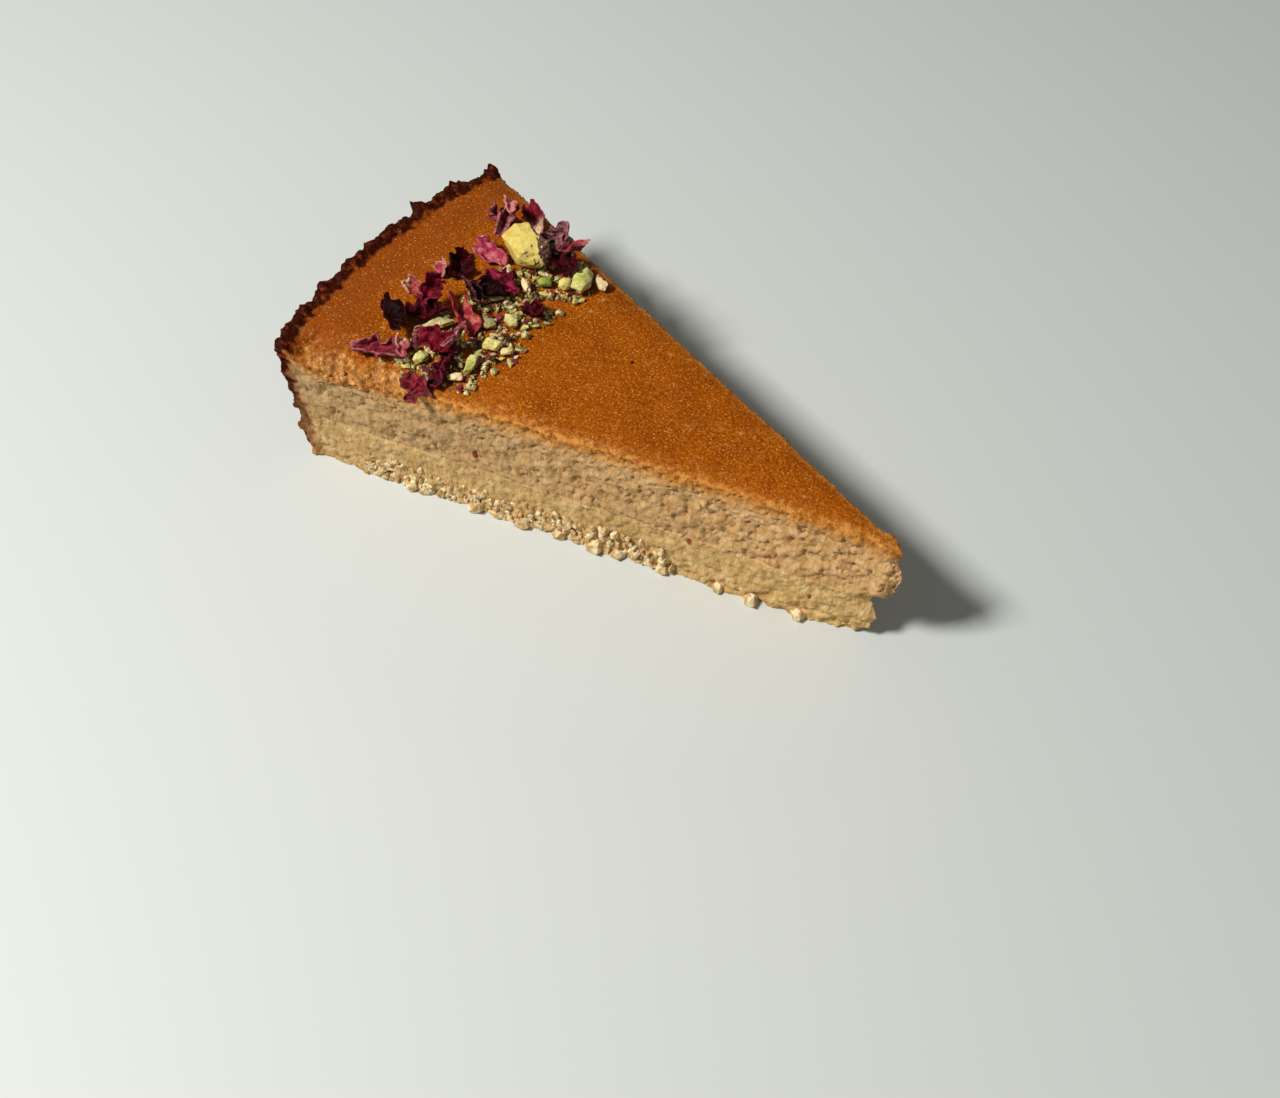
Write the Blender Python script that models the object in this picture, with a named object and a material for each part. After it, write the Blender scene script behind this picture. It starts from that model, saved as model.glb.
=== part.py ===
"""A slice of almond cake with dried rose petals and chopped pistachios, in metres, +Z up.

The slice stands on its base. Its tip points to +X and its browned rim to -X.
The two cut faces would meet on the upright line at x = TIP_X, y = 0.
"""

import math
import random

import bmesh
import bpy
from mathutils import Euler, Matrix, Vector, noise
from mathutils.bvhtree import BVHTree

MM = 0.001
GOLDEN_ANGLE = math.pi * (3 - math.sqrt(5))

# Slice
RADIUS = 130 * MM
HALF_ANGLE = math.radians(15)
HEIGHT = 33 * MM
BASE_HEIGHT = 13.5 * MM
BASE_WAVE = 0.9 * MM
BASE_WAVE_SIZE = 22 * MM
WALL_TAPER = 2.2 * MM
TIP_X = 65.0 * MM
TIP_HALF_WIDTH = 1.7 * MM
GAP = 0.3 * MM

# How far the tip stands out past the line of the apex, by height
TIP_PROFILE = (
    (-2 * MM, -7.0 * MM),
    (0 * MM, -6.0 * MM),
    (3 * MM, -3.0 * MM),
    (8 * MM, -1.8 * MM),
    (11 * MM, -3.4 * MM),
    (13 * MM, -4.2 * MM),
    (16 * MM, 0.2 * MM),
    (19 * MM, 0.6 * MM),
    (22 * MM, 1.6 * MM),
    (25 * MM, 1.2 * MM),
    (28 * MM, -0.4 * MM),
    (33 * MM, 0.4 * MM),
)

# Relief of the surface. Each noise has its roughness, the step in size and its octaves
RIM_WIDTH = 3.5 * MM
RIM_EDGE = 1 * MM
RIM_RISE = 0.7 * MM
RIM_CRAG = 0.7
CRAG_DEPTH = 1.3 * MM
CRAG_SIZE = 4.5 * MM
CRAG_NOISE = (0.9, 2.1, 3)
CRUMB_DEPTH = 0.55 * MM
CRUMB_SIZE = 3.2 * MM
CRUMB_NOISE = (0.8, 2.2, 3)
PIT_DEPTH = 1.0 * MM
PIT_SPACING = 5.5 * MM
PIT_EDGE = (0.12, 0.38)
CUT_WANDER = 0.5 * MM
CUT_WANDER_SIZE = 16 * MM
TOP_SWELL = 0.25 * MM
TOP_SWELL_SIZE = 9 * MM
EDGE_ROUNDING = 1.1 * MM
EDGE_ROUNDING_WIDTH = 2.2 * MM

# Where each kind of surface begins and is complete: by how far its normal points up or
# out, by distance from the rim's radius, by height, and by depth below the top
TOP_NORMALS = (0.45, 0.85)
WALL_NORMALS = (0.3, 0.7)
WALL_BAND = (9 * MM, 5 * MM)
AIRY_HEIGHTS = (BASE_HEIGHT - 2 * MM, BASE_HEIGHT + 3 * MM)
GRAINY_HEIGHTS = (2 * MM, 8 * MM)
TOP_DEPTHS = (9 * MM, 1 * MM)

# How strong the crumb is on a cut face, and how much more in the upper layer and at the foot
CRUMB_PLAIN = 0.7
CRUMB_AIRY = 0.3
CRUMB_GRAINY = 0.8

# The worn stretch of the near top edge, from the rim inwards
WORN_DEPTH = 3.4 * MM
WORN_WIDTH = 9.5 * MM
WORN_FROM = 93 * MM
WORN_TO = 128 * MM
WORN_FADE_IN = 16 * MM
WORN_FADE_OUT = 5 * MM
WORN_PLAIN = 0.85
WORN_UNEVEN = 0.5
WORN_UNEVEN_SIZE = 5 * MM

# Meshing
LEVEL_STEP = 1.5 * MM
SIDE_POINTS = 40
ARC_POINTS = 24
VOXEL = 1.4 * MM
BODY_TRIANGLES = 5400
BELOW_BASE = 1.5 * MM
ABOVE_TOP = 12 * MM
BLOCK_SIZE = (160 * MM, 90 * MM)
BLOCK_STEPS = (14, 8)

# Fragments of nut or cake: how far their corners stray, their boxiness and their wear
CORNER_STRAY = 0.4
BOXINESS = 0.55
LEAST_REACH = 0.82

# Nuts, petals and nut crumbs
NUT_SEED = 100
PETAL_SEED = 200
PETAL_SEED_STEP = 3.7
CRUMB_SEED = 11
CRUMB_TRIES = 420
CRUMB_COUNT = 60
CRUMB_BAND = (-103 * MM, -85 * MM, -25 * MM, 24 * MM)
CRUMB_SIZES = (1.3 * MM, 2.4 * MM)
CRUMB_SHAPE = Vector((1.0, 0.8, 0.75))
CRUMB_LIFT = 0.22
CRUMB_CORNERS = 9
FRAGMENT_CORNERS = 16
KERNEL_CORNERS = 34
EDGE_MARGIN = 2.5 * MM
TOPPING_LIMIT = TIP_X - 72 * MM
TOPPING_DEPTH = 8 * MM

# How toppings are settled: poses tried, how far they stray, and the cost of straying
DROP_HEIGHT = 25 * MM
SETTLE_STEP = 0.1 * MM
SETTLE_TRIES = 36
SETTLE_SHIFT = 0.8 * MM
SETTLE_ANGLE = 7
SHIFT_COST = 0.7

# Petals: their outline, lobes and crumpled surface
PETAL_THICKNESS = 0.4 * MM
PETAL_STEPS = 8
PETAL_STEPS_ACROSS = 4
PETAL_SPARE = 0.95
OUTLINE_START = 0.05
OUTLINE_SPAN = 0.76
OUTLINE_SKEW = 0.95
OUTLINE_FULLNESS = 0.65
LOBES_ALONG = 5.2
LOBE_BLEND = 0.5
LOBE_DEPTH = 0.9
END_RAG = 0.45
END_RAG_FROM = 0.5
END_LOBES = 2.7
SWAY = 0.3
TWIST = 2.6
CRUMPLE = 2.0 * MM
CRUMPLE_SIZE = 2.4 * MM

# Colours, and how rough each surface is
CAKE_COLOUR = (0.60, 0.27, 0.07)
CAKE_ROUGHNESS = 0.5
BASE_COLOUR = (0.58, 0.43, 0.24)
BASE_ROUGHNESS = 0.8
NUT_COLOUR = (0.52, 0.50, 0.14)
NUT_ROUGHNESS = 0.6
PETAL_COLOUR = (0.26, 0.02, 0.06)
PETAL_ROUGHNESS = 0.7

# The photograph's camera: its place from the apex, its angles, and its focal length and
# the middle of its picture in pixels
VIEW_PLACE = Vector((58.5 * MM, -155.7 * MM, 249.5 * MM))
VIEW_AZIMUTH = math.radians(37.1)
VIEW_ELEVATION = math.radians(53.8)
VIEW_ROLL = math.radians(0.3)
VIEW_FOCAL = 1500
VIEW_MIDDLE = (640, 549)

# Crumbs that stick out at the foot of the cut faces: side, distance from the rim, size
FOOT_CRUMB_OUT = 0.1
FOOT_CRUMB_LIFT = 0.55
FOOT_CRUMB_SHAPE = Vector((2.0, 1.9, 1.7))
FOOT_CRUMB_CORNERS = 12
FOOT_CRUMBS = (
    ("near", 27 * MM, 1.9 * MM),
    ("near", 30 * MM, 1.6 * MM),
    ("near", 42 * MM, 2.1 * MM),
    ("near", 47 * MM, 1.5 * MM),
    ("near", 53 * MM, 2.0 * MM),
    ("near", 61 * MM, 1.6 * MM),
    ("near", 69 * MM, 2.1 * MM),
    ("near", 74 * MM, 1.7 * MM),
    ("near", 84 * MM, 1.6 * MM),
    ("near", 96 * MM, 1.5 * MM),
    ("near", 103 * MM, 2.0 * MM),
    ("near", 113 * MM, 1.8 * MM),
    ("far", 24 * MM, 1.8 * MM),
    ("far", 45 * MM, 1.9 * MM),
    ("far", 66 * MM, 1.7 * MM),
    ("far", 88 * MM, 2.0 * MM),
    ("far", 108 * MM, 1.7 * MM),
)

# Pistachio pieces, lowest first: the two ends as seen in the photograph, in pixels, how
# high over the top the middle lies, width and height in millimetres, tilt and roll in degrees
NUTS = {
    "pistachio_kernel": ((512, 228), (542, 268), 4.0, 8.0, 7.0, 8, 12),
    "pistachio_light": ((588, 268), (578, 295), 2.0, 4.5, 3.5, 6, 10),
    "pistachio_cube": ((558, 285), (571, 290), 1.5, 3.0, 2.5, 0, 8),
    "pistachio_sliver": ((514, 260), (507, 276), 2.5, 2.5, 2.0, 14, 5),
    "pistachio_skin_sliver": ((520, 275), (531, 292), 2.0, 2.0, 2.0, 6, 20),
    "pistachio_green": ((536, 283), (553, 283), 1.5, 2.5, 2.0, 0, 0),
    "pistachio_far_green": ((565, 233), (569, 244), 2.0, 2.0, 2.0, 0, 0),
    "pistachio_yellow_bit": ((478, 276), (491, 282), 2.0, 2.0, 1.5, 0, 0),
    "pistachio_flake": ((484, 299), (506, 296), 1.5, 2.0, 1.5, 10, 0),
    "pistachio_bit": ((505, 314), (516, 328), 1.5, 2.5, 2.0, 0, 0),
    "pistachio_grey": ((480, 320), (496, 327), 1.5, 3.0, 2.0, 8, 0),
    "pistachio_yellow": ((483, 339), (501, 349), 2.0, 3.5, 2.5, 10, -14),
    "pistachio_small_yellow": ((494, 354), (510, 351), 1.0, 2.0, 1.5, 0, 0),
    "pistachio_bright": ((463, 373), (481, 354), 2.0, 2.5, 3.0, 6, 0),
    "pistachio_pale": ((418, 328), (456, 322), 1.5, 2.5, 2.0, 4, 10),
    "pistachio_front": ((411, 362), (429, 355), 1.0, 2.5, 2.0, 0, 6),
    "pistachio_edge": ((444, 374), (464, 378), 1.0, 2.0, 1.5, 0, 0),
    "pistachio_right": ((597, 278), (606, 292), 1.0, 2.5, 2.0, 0, 0),
}

# Petals, lowest first: claw end and tip end as seen in the photograph, in pixels, how high
# over the top the middle lies and the width in millimetres, tilt and roll in degrees, then
# curl across and bend along in radians, fold at the middle and ruffle
PETALS = {
    "petal_wine": ((402, 314), (448, 310), 1.5, 5.5, 10, 14, 0.9, 0.4, 0.1, 1.0),
    "petal_far_shadow": ((551, 259), (568, 283), 1.5, 5.5, 6, 20, 0.9, 0.4, 0.2, 0.9),
    "petal_far_dark": ((551, 226), (568, 246), 2.5, 5.5, 12, 26, 1.1, 0.4, 0.2, 1.2),
    "petal_far_crimson": ((557, 256), (587, 254), 4.0, 4.0, 8, -22, 1.2, 0.4, 0.1, 1.0),
    "petal_far_magenta": ((549, 234), (525, 207), 3.5, 5.0, 14, -30, 1.1, 0.5, 0.1, 0.7),
    "petal_far_ruffled": ((516, 213), (483, 220), 2.5, 6.5, 20, 14, 1.4, 0.9, 0.1, 1.5),
    "petal_far_curl": ((498, 238), (514, 217), 3.5, 4.5, 12, 30, 1.5, 0.7, 0.1, 1.3),
    "petal_pink": ((511, 262), (482, 244), 2.5, 5.0, 10, -24, 1.1, 0.6, 0.2, 0.9),
    "petal_upright": ((470, 246), (457, 270), 3.0, 6.5, -30, -30, 0.9, 0.3, 0.1, 0.7),
    "petal_black": ((508, 297), (474, 286), 2.5, 5.0, 6, -16, 1.1, 0.4, 0.1, 1.0),
    "petal_blush": ((449, 275), (446, 261), 2.0, 3.0, 16, -34, 1.0, 0.4, 0.1, 0.7),
    "petal_crimson": ((523, 292), (487, 276), 3.5, 4.0, 8, -24, 1.2, 0.5, 0.2, 1.3),
    "petal_clump": ((523, 304), (542, 317), 1.5, 5.0, 18, 16, 1.5, 0.8, 0.1, 1.5),
    "petal_dark_fold": ((484, 303), (472, 285), 3.0, 4.5, 12, 36, 1.3, 0.4, 0.3, 0.9),
    "petal_salmon_tip": ((429, 291), (405, 280), 3.0, 4.5, 20, -18, 1.1, 0.7, 0.1, 0.8),
    "petal_rim": ((421, 303), (447, 284), 4.0, 5.5, 16, 30, 1.2, 0.5, 0.1, 1.0),
    "petal_ribbed": ((475, 325), (464, 292), 4.5, 5.0, 4, 26, 0.6, 0.3, 0.9, 0.4),
    "petal_pod": ((347, 341), (400, 348), 2.0, 6.5, -2, 12, 1.9, 0.5, 0.0, 0.3),
    "petal_overhang": ((403, 383), (427, 400), -1.0, 5.5, -10, 30, 1.0, 0.4, 0.2, 1.1),
    "petal_long": ((445, 352), (428, 388), 1.5, 5.0, -6, 30, 1.2, 0.5, 0.2, 0.9),
    "petal_rose": ((409, 333), (455, 344), 3.0, 6.0, -10, 26, 1.3, 0.7, 0.1, 0.9),
    "petal_mauve": ((467, 332), (440, 350), 3.0, 3.0, -12, 40, 1.2, 0.5, 0.1, 0.7),
    "petal_claw": ((402, 352), (394, 332), 4.0, 3.5, 14, 16, 1.3, 0.5, 0.1, 1.0),
    "petal_twig": ((380, 295), (400, 323), 6.0, 5.0, -14, 30, 0.9, 0.5, 0.1, 0.7),
    "petal_cream": ((507, 222), (504, 208), 5.0, 3.0, 10, 10, 1.1, 0.5, 0.1, 0.9),
}


def smooth_step(low, high, value):
    """0 below low, 1 above high and a smooth change between them. low may be the larger."""
    t = min(max((value - low) / (high - low), 0.0), 1.0)
    return t * t * (3 - 2 * t)


def from_table(table, value):
    """The table's second column at this value of its first, on straight lines between."""
    for (x0, y0), (x1, y1) in zip(table, table[1:]):
        if value <= x1:
            return y0 + (y1 - y0) * (value - x0) / (x1 - x0)
    return table[-1][1]


def near_distance(x, y):
    """How far a point is from the near cut face. x is measured from the apex."""
    return -x * math.sin(HALF_ANGLE) + y * math.cos(HALF_ANGLE)


def far_distance(x, y):
    """How far a point is from the far cut face. x is measured from the apex."""
    return near_distance(x, -y)


def line_of_sight(pixel):
    """The direction in which the photograph's camera sees this pixel."""
    level = Vector((-math.sin(VIEW_AZIMUTH), math.cos(VIEW_AZIMUTH), 0))
    forward = level * math.cos(VIEW_ELEVATION) - Vector((0, 0, math.sin(VIEW_ELEVATION)))
    right = Matrix.Rotation(-VIEW_ROLL, 3, forward) @ Vector((level.y, -level.x, 0))
    up = right.cross(forward)
    across = (pixel[0] - VIEW_MIDDLE[0]) / VIEW_FOCAL
    down = (pixel[1] - VIEW_MIDDLE[1]) / VIEW_FOCAL
    return forward + right * across - up * down


def seen_at(pixel, over_top):
    """Where this pixel lies at this height over the top. x is measured from the apex."""
    sight = line_of_sight(pixel)
    return VIEW_PLACE + sight * (HEIGHT + over_top - VIEW_PLACE.z) / sight.z


def seen_between(ends, over_top):
    """The middle, length and turn in degrees of a piece whose ends are seen at two pixels."""
    first, last = (seen_at(pixel, over_top) for pixel in ends)
    run = last - first
    return (first + last) / 2, run.length, math.degrees(math.atan2(run.y, run.x))


def clear_scene():
    for obj in list(bpy.data.objects):
        bpy.data.objects.remove(obj, do_unlink=True)


def make_material(name, colour, roughness):
    material = bpy.data.materials.new(name)
    material.use_nodes = True
    shader = material.node_tree.nodes["Principled BSDF"]
    shader.inputs["Base Color"].default_value = (*colour, 1)
    shader.inputs["Roughness"].default_value = roughness
    shader.inputs["Metallic"].default_value = 0.0
    material.diffuse_color = (*colour, 1)
    return material


def object_from(name, bm):
    """A new object in the scene that holds this bmesh, which is freed."""
    mesh = bpy.data.meshes.new(name)
    bm.to_mesh(mesh)
    bm.free()
    obj = bpy.data.objects.new(name, mesh)
    bpy.context.scene.collection.objects.link(obj)
    return obj


def apply_modifiers(obj):
    """The object's mesh becomes what its modifiers make of it."""
    graph = bpy.context.evaluated_depsgraph_get()
    old = obj.data
    obj.data = bpy.data.meshes.new_from_object(obj.evaluated_get(graph))
    obj.modifiers.clear()
    bpy.data.meshes.remove(old)


def slice_outline(z):
    """The slice's outline at height z, anticlockwise from the near end of its rim."""
    tip = from_table(TIP_PROFILE, z)
    radius = RADIUS - WALL_TAPER * (1 - max(z, 0) / HEIGHT)
    corner = -radius * math.cos(HALF_ANGLE)
    near = []
    for i in range(SIDE_POINTS):
        x = corner + (tip - corner) * i / SIDE_POINTS
        half = max(-x * math.tan(HALF_ANGLE), TIP_HALF_WIDTH)
        into_tip = max(x - (tip - TIP_HALF_WIDTH), 0) / TIP_HALF_WIDTH
        near.append((x, -half * math.sqrt(1 - into_tip**2)))
    far = [(x, -y) for x, y in reversed(near)]
    arc = []
    for i in range(1, ARC_POINTS):
        angle = HALF_ANGLE * (1 - 2 * i / ARC_POINTS)
        arc.append((-radius * math.cos(angle), radius * math.sin(angle)))
    return near + [(tip, 0)] + far + arc


def smooth_slice():
    """The slice with smooth faces, as one closed loft of its outlines."""
    bm = bmesh.new()
    count = math.ceil((HEIGHT + BELOW_BASE) / LEVEL_STEP)
    rings = []
    for level in range(count + 1):
        z = -BELOW_BASE + (HEIGHT + BELOW_BASE) * level / count
        rings.append([bm.verts.new((TIP_X + x, y, z)) for x, y in slice_outline(z)])
    for lower, upper in zip(rings, rings[1:]):
        for i in range(len(lower)):
            j = (i + 1) % len(lower)
            bm.faces.new((lower[i], lower[j], upper[j], upper[i]))
    bm.faces.new(reversed(rings[0]))
    bm.faces.new(rings[-1])
    return object_from("cake", bm)


def pit_depth(point):
    """The depth of the open pores of the crumb at this point."""
    distances, _ = noise.voronoi(point / PIT_SPACING)
    return PIT_DEPTH * (1 - smooth_step(*PIT_EDGE, distances[0]))


def relief(point, normal):
    """How far the surface stands out from the smooth slice. x is measured from the apex."""
    x, y, z = point
    radius = math.hypot(x, y)
    top = smooth_step(*TOP_NORMALS, normal.z)
    at_rim = smooth_step(*WALL_BAND, RADIUS - radius)
    wall = smooth_step(*WALL_NORMALS, -normal.x) * at_rim
    cut = (1 - top) * (1 - wall)
    crag = noise.fractal(point / CRAG_SIZE, *CRAG_NOISE) * CRAG_DEPTH
    crumb = noise.fractal(point / CRUMB_SIZE, *CRUMB_NOISE) * CRUMB_DEPTH
    wander = noise.noise(point / CUT_WANDER_SIZE) * CUT_WANDER
    swell = noise.noise(point / TOP_SWELL_SIZE) * TOP_SWELL
    airy = smooth_step(*AIRY_HEIGHTS, z)
    grainy = 1 - smooth_step(*GRAINY_HEIGHTS, z)
    rim = smooth_step(RIM_WIDTH, RIM_EDGE, RADIUS - radius)
    strength = CRUMB_PLAIN + CRUMB_AIRY * airy + CRUMB_GRAINY * grainy
    on_top = swell + rim * (RIM_RISE + RIM_CRAG * crag)
    on_cut = wander + strength * crumb - airy * pit_depth(point)
    return top * on_top + wall * crag + cut * on_cut


def worn_share(point):
    """How much the near top edge is worn away here, from 0 to about 1."""
    x, y, _ = point
    along = math.hypot(x, y)
    begun = smooth_step(WORN_FROM, WORN_FROM + WORN_FADE_IN, along)
    ended = smooth_step(WORN_TO - WORN_FADE_OUT, WORN_TO, along)
    inside = smooth_step(0, WORN_WIDTH, max(near_distance(x, y), 0))
    uneven = WORN_PLAIN + WORN_UNEVEN * noise.noise(point / WORN_UNEVEN_SIZE)
    return begun * (1 - ended) * (1 - inside) * uneven


def top_drop(point):
    """How far the top lies below its plane: rounded at the cuts, worn near the rim."""
    x, y, z = point
    rounding = 0
    for distance in (near_distance(x, y), far_distance(x, y)):
        rounding += math.exp(-max(distance, 0) / EDGE_ROUNDING_WIDTH)
    high = smooth_step(*TOP_DEPTHS, HEIGHT - z)
    return high * (EDGE_ROUNDING * rounding + WORN_DEPTH * worn_share(point))


def add_relief(obj):
    """Moves each point of the slice out or in to its real, uneven surface."""
    apex = Vector((TIP_X, 0, 0))
    moved = []
    for vertex in obj.data.vertices:
        point = vertex.co - apex
        place = vertex.co + vertex.normal * relief(point, vertex.normal)
        place.z -= top_drop(point)
        moved.append(place)
    for vertex, place in zip(obj.data.vertices, moved):
        vertex.co = place


def chunk_points(rng, count, size):
    """Points spread over an uneven box with worn corners, the corners of a fragment."""
    points = []
    for i in range(count):
        height = 1 - 2 * (i + 0.5) / count
        turn = i * GOLDEN_ANGLE + rng.uniform(-CORNER_STRAY, CORNER_STRAY)
        flat = math.sqrt(1 - height * height)
        direction = Vector((flat * math.cos(turn), flat * math.sin(turn), height))
        boxed = direction / max(abs(direction.x), abs(direction.y), abs(direction.z))
        corner = direction.lerp(boxed, BOXINESS) * rng.uniform(LEAST_REACH, 1.0)
        points.append(corner * size / 2)
    return points


def chunk(rng, count, size, matrix):
    """A closed fragment of this size with flat broken faces."""
    bm = bmesh.new()
    for point in chunk_points(rng, count, size):
        bm.verts.new(matrix @ point)
    bmesh.ops.convex_hull(bm, input=bm.verts)
    loose = [vertex for vertex in bm.verts if not vertex.link_faces]
    bmesh.ops.delete(bm, geom=loose, context="VERTS")
    bmesh.ops.triangulate(bm, faces=bm.faces)
    bmesh.ops.recalc_face_normals(bm, faces=bm.faces)
    return bm


def union(obj, others):
    """Joins the other objects to this one with a Boolean on their collection."""
    collection = bpy.data.collections.new("fused")
    bpy.context.scene.collection.children.link(collection)
    for other in others:
        collection.objects.link(other)
    modifier = obj.modifiers.new("join", "BOOLEAN")
    modifier.operation = "UNION"
    modifier.operand_type = "COLLECTION"
    modifier.collection = collection
    modifier.solver = "EXACT"
    apply_modifiers(obj)
    for other in others:
        bpy.data.objects.remove(other, do_unlink=True)
    bpy.data.collections.remove(collection)


def keep_largest_body(obj):
    """Drops the loose scraps that a Boolean leaves beside the main body."""
    bm = bmesh.new()
    bm.from_mesh(obj.data)
    left = set(bm.verts)
    bodies = []
    while left:
        found = {left.pop()}
        front = list(found)
        while front:
            vertex = front.pop()
            for edge in vertex.link_edges:
                other = edge.other_vert(vertex)
                if other in left:
                    left.remove(other)
                    found.add(other)
                    front.append(other)
        bodies.append(found)
    bodies.sort(key=len)
    for scrap in bodies[:-1]:
        bmesh.ops.delete(bm, geom=list(scrap), context="VERTS")
    bm.to_mesh(obj.data)
    bm.free()


def foot_crumbs():
    """The crumbs that lie against the foot of the cut faces."""
    crumbs = []
    for index, (side, from_rim, size) in enumerate(FOOT_CRUMBS):
        along = RADIUS - from_rim
        sign = -1 if side == "near" else 1
        out = FOOT_CRUMB_OUT * size
        x = TIP_X - along * math.cos(HALF_ANGLE) + out * math.sin(HALF_ANGLE)
        y = sign * (along * math.sin(HALF_ANGLE) + out * math.cos(HALF_ANGLE))
        matrix = Matrix.Translation((x, y, FOOT_CRUMB_LIFT * size))
        shape = size * FOOT_CRUMB_SHAPE
        crumb = chunk(random.Random(index), FOOT_CRUMB_CORNERS, shape, matrix)
        crumbs.append(object_from(f"foot_crumb_{index}", crumb))
    return crumbs


def layer_height(x, y):
    """The height of the surface between the two layers of the cake."""
    return BASE_HEIGHT + BASE_WAVE * noise.noise(Vector((x, y, 0)) / BASE_WAVE_SIZE)


def skin_between(bm, low, high, rows, columns):
    """Closes two grids of vertices into one solid: both faces split alike, and the rim."""
    for i in range(rows):
        for j in range(columns):
            for sheet, turn in ((low, -1), (high, 1)):
                a, b = sheet[i][j], sheet[i + 1][j]
                c, d = sheet[i + 1][j + 1], sheet[i][j + 1]
                bm.faces.new((a, b, c)[::turn])
                bm.faces.new((a, c, d)[::turn])
    rim = [(i, 0) for i in range(rows)]
    rim += [(rows, j) for j in range(columns)]
    rim += [(i, columns) for i in range(rows, 0, -1)]
    rim += [(0, j) for j in range(columns, 0, -1)]
    for (i, j), (k, m) in zip(rim, rim[1:] + rim[:1]):
        bm.faces.new((low[i][j], low[k][m], high[k][m]))
        bm.faces.new((low[i][j], high[k][m], high[i][j]))


def cut_block(name, bottom, top):
    """A closed block, wider than the slice, between two height functions."""
    rows, columns = BLOCK_STEPS
    length, width = BLOCK_SIZE
    bm = bmesh.new()
    sheets = []
    for height in (bottom, top):
        sheet = []
        for i in range(rows + 1):
            x = length * (i / rows - 0.5)
            ys = [width * (j / columns - 0.5) for j in range(columns + 1)]
            sheet.append([bm.verts.new((x, y, height(x, y))) for y in ys])
        sheets.append(sheet)
    skin_between(bm, *sheets, rows, columns)
    return object_from(name, bm)


def cake_layer(cake, name, bottom, top, material):
    """The part of the cake between two heights, as its own object."""
    layer = bpy.data.objects.new(name, cake.data.copy())
    bpy.context.scene.collection.objects.link(layer)
    block = cut_block(name + "_block", bottom, top)
    modifier = layer.modifiers.new("cut", "BOOLEAN")
    modifier.operation = "INTERSECT"
    modifier.object = block
    # The exact solver leaves the base open along this cut
    modifier.solver = "MANIFOLD"
    apply_modifiers(layer)
    bpy.data.objects.remove(block, do_unlink=True)
    keep_largest_body(layer)
    layer.data.materials.clear()
    layer.data.materials.append(material)
    return layer


def make_cake():
    """The two layers of the slice. Returns the upper one."""
    cake = smooth_slice()
    remesh = cake.modifiers.new("even mesh", "REMESH")
    remesh.mode = "VOXEL"
    remesh.voxel_size = VOXEL
    apply_modifiers(cake)
    add_relief(cake)
    fewer = cake.modifiers.new("fewer faces", "DECIMATE")
    fewer.ratio = BODY_TRIANGLES / (2 * len(cake.data.polygons))
    apply_modifiers(cake)
    union(cake, foot_crumbs())
    upper = cake_layer(
        cake,
        "cake_layer",
        layer_height,
        lambda x, y: HEIGHT + ABOVE_TOP,
        make_material("cake_layer", CAKE_COLOUR, CAKE_ROUGHNESS),
    )
    cake_layer(
        cake,
        "almond_base",
        lambda x, y: 0,
        lambda x, y: layer_height(x, y) - GAP,
        make_material("almond_base", BASE_COLOUR, BASE_ROUGHNESS),
    )
    bpy.data.objects.remove(cake, do_unlink=True)
    return upper


def petal_point(u, v, shape, seed):
    """A point of a petal's middle surface. u runs from claw to tip, v from side to side."""
    length, width, curl, bend, fold, ruffle = shape
    share = OUTLINE_START + OUTLINE_SPAN * u**OUTLINE_SKEW
    outline = math.sin(math.pi * share) ** OUTLINE_FULLNESS
    side = math.copysign(abs(v) ** LOBE_BLEND, v)
    lobe = noise.noise(Vector((LOBES_ALONG * u, side, seed)))
    half = width / 2 * outline * (1 + LOBE_DEPTH * lobe)
    rise = bend * (u - 0.5)
    rag = noise.noise(Vector((END_LOBES * v, 0, seed))) * smooth_step(END_RAG_FROM, 1, u)
    x = length * (math.sin(rise) / bend + END_RAG * rag)
    y = half * math.sin(curl * v) / curl
    z = half * (1 - math.cos(curl * v)) / curl + fold * half * abs(v)
    crease = abs(noise.noise(Vector((x / CRUMPLE_SIZE, y / CRUMPLE_SIZE, seed))))
    z -= ruffle * CRUMPLE * crease
    turn = TWIST * (u - 0.5) * noise.noise(Vector((seed, 0, 0)))
    y, z = y * math.cos(turn) - z * math.sin(turn), y * math.sin(turn) + z * math.cos(turn)
    y += SWAY * length * math.sin(math.pi * u) * noise.noise(Vector((0, seed, 0)))
    z += length * (1 - math.cos(rise)) / bend
    return Vector((x, y, z))


def petal(shape, seed):
    """A thin wavy solid whose two faces are split into triangles alike."""
    rows, columns = PETAL_STEPS, PETAL_STEPS_ACROSS
    middle = []
    for i in range(rows + 1):
        sides = [2 * j / columns - 1 for j in range(columns + 1)]
        middle.append([petal_point(i / rows, v, shape, seed) for v in sides])
    bm = bmesh.new()
    sheets = []
    for side in (-1, 1):
        sheet = []
        for i in range(rows + 1):
            row = []
            for j in range(columns + 1):
                along = middle[min(i + 1, rows)][j] - middle[max(i - 1, 0)][j]
                across = middle[i][min(j + 1, columns)] - middle[i][max(j - 1, 0)]
                normal = along.cross(across).normalized()
                row.append(bm.verts.new(middle[i][j] + normal * side * PETAL_THICKNESS / 2))
            sheet.append(row)
        sheets.append(sheet)
    skin_between(bm, *sheets, rows, columns)
    return bm


def heap_of(obj):
    """The part of an object that toppings can touch, as points, triangles and their tree."""
    points = [vertex.co.copy() for vertex in obj.data.vertices]
    lowest = HEIGHT - TOPPING_DEPTH
    faces = []
    for polygon in obj.data.polygons:
        corners = [points[i] for i in polygon.vertices]
        if all(corner.x < TOPPING_LIMIT and corner.z > lowest for corner in corners):
            faces.append(tuple(polygon.vertices))
    used = sorted({i for face in faces for i in face})
    new_index = {old: new for new, old in enumerate(used)}
    heap = {"points": [], "faces": []}
    kept_faces = [tuple(new_index[i] for i in face) for face in faces]
    add_to_heap(heap, [points[i] for i in used], kept_faces)
    return heap


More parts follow.
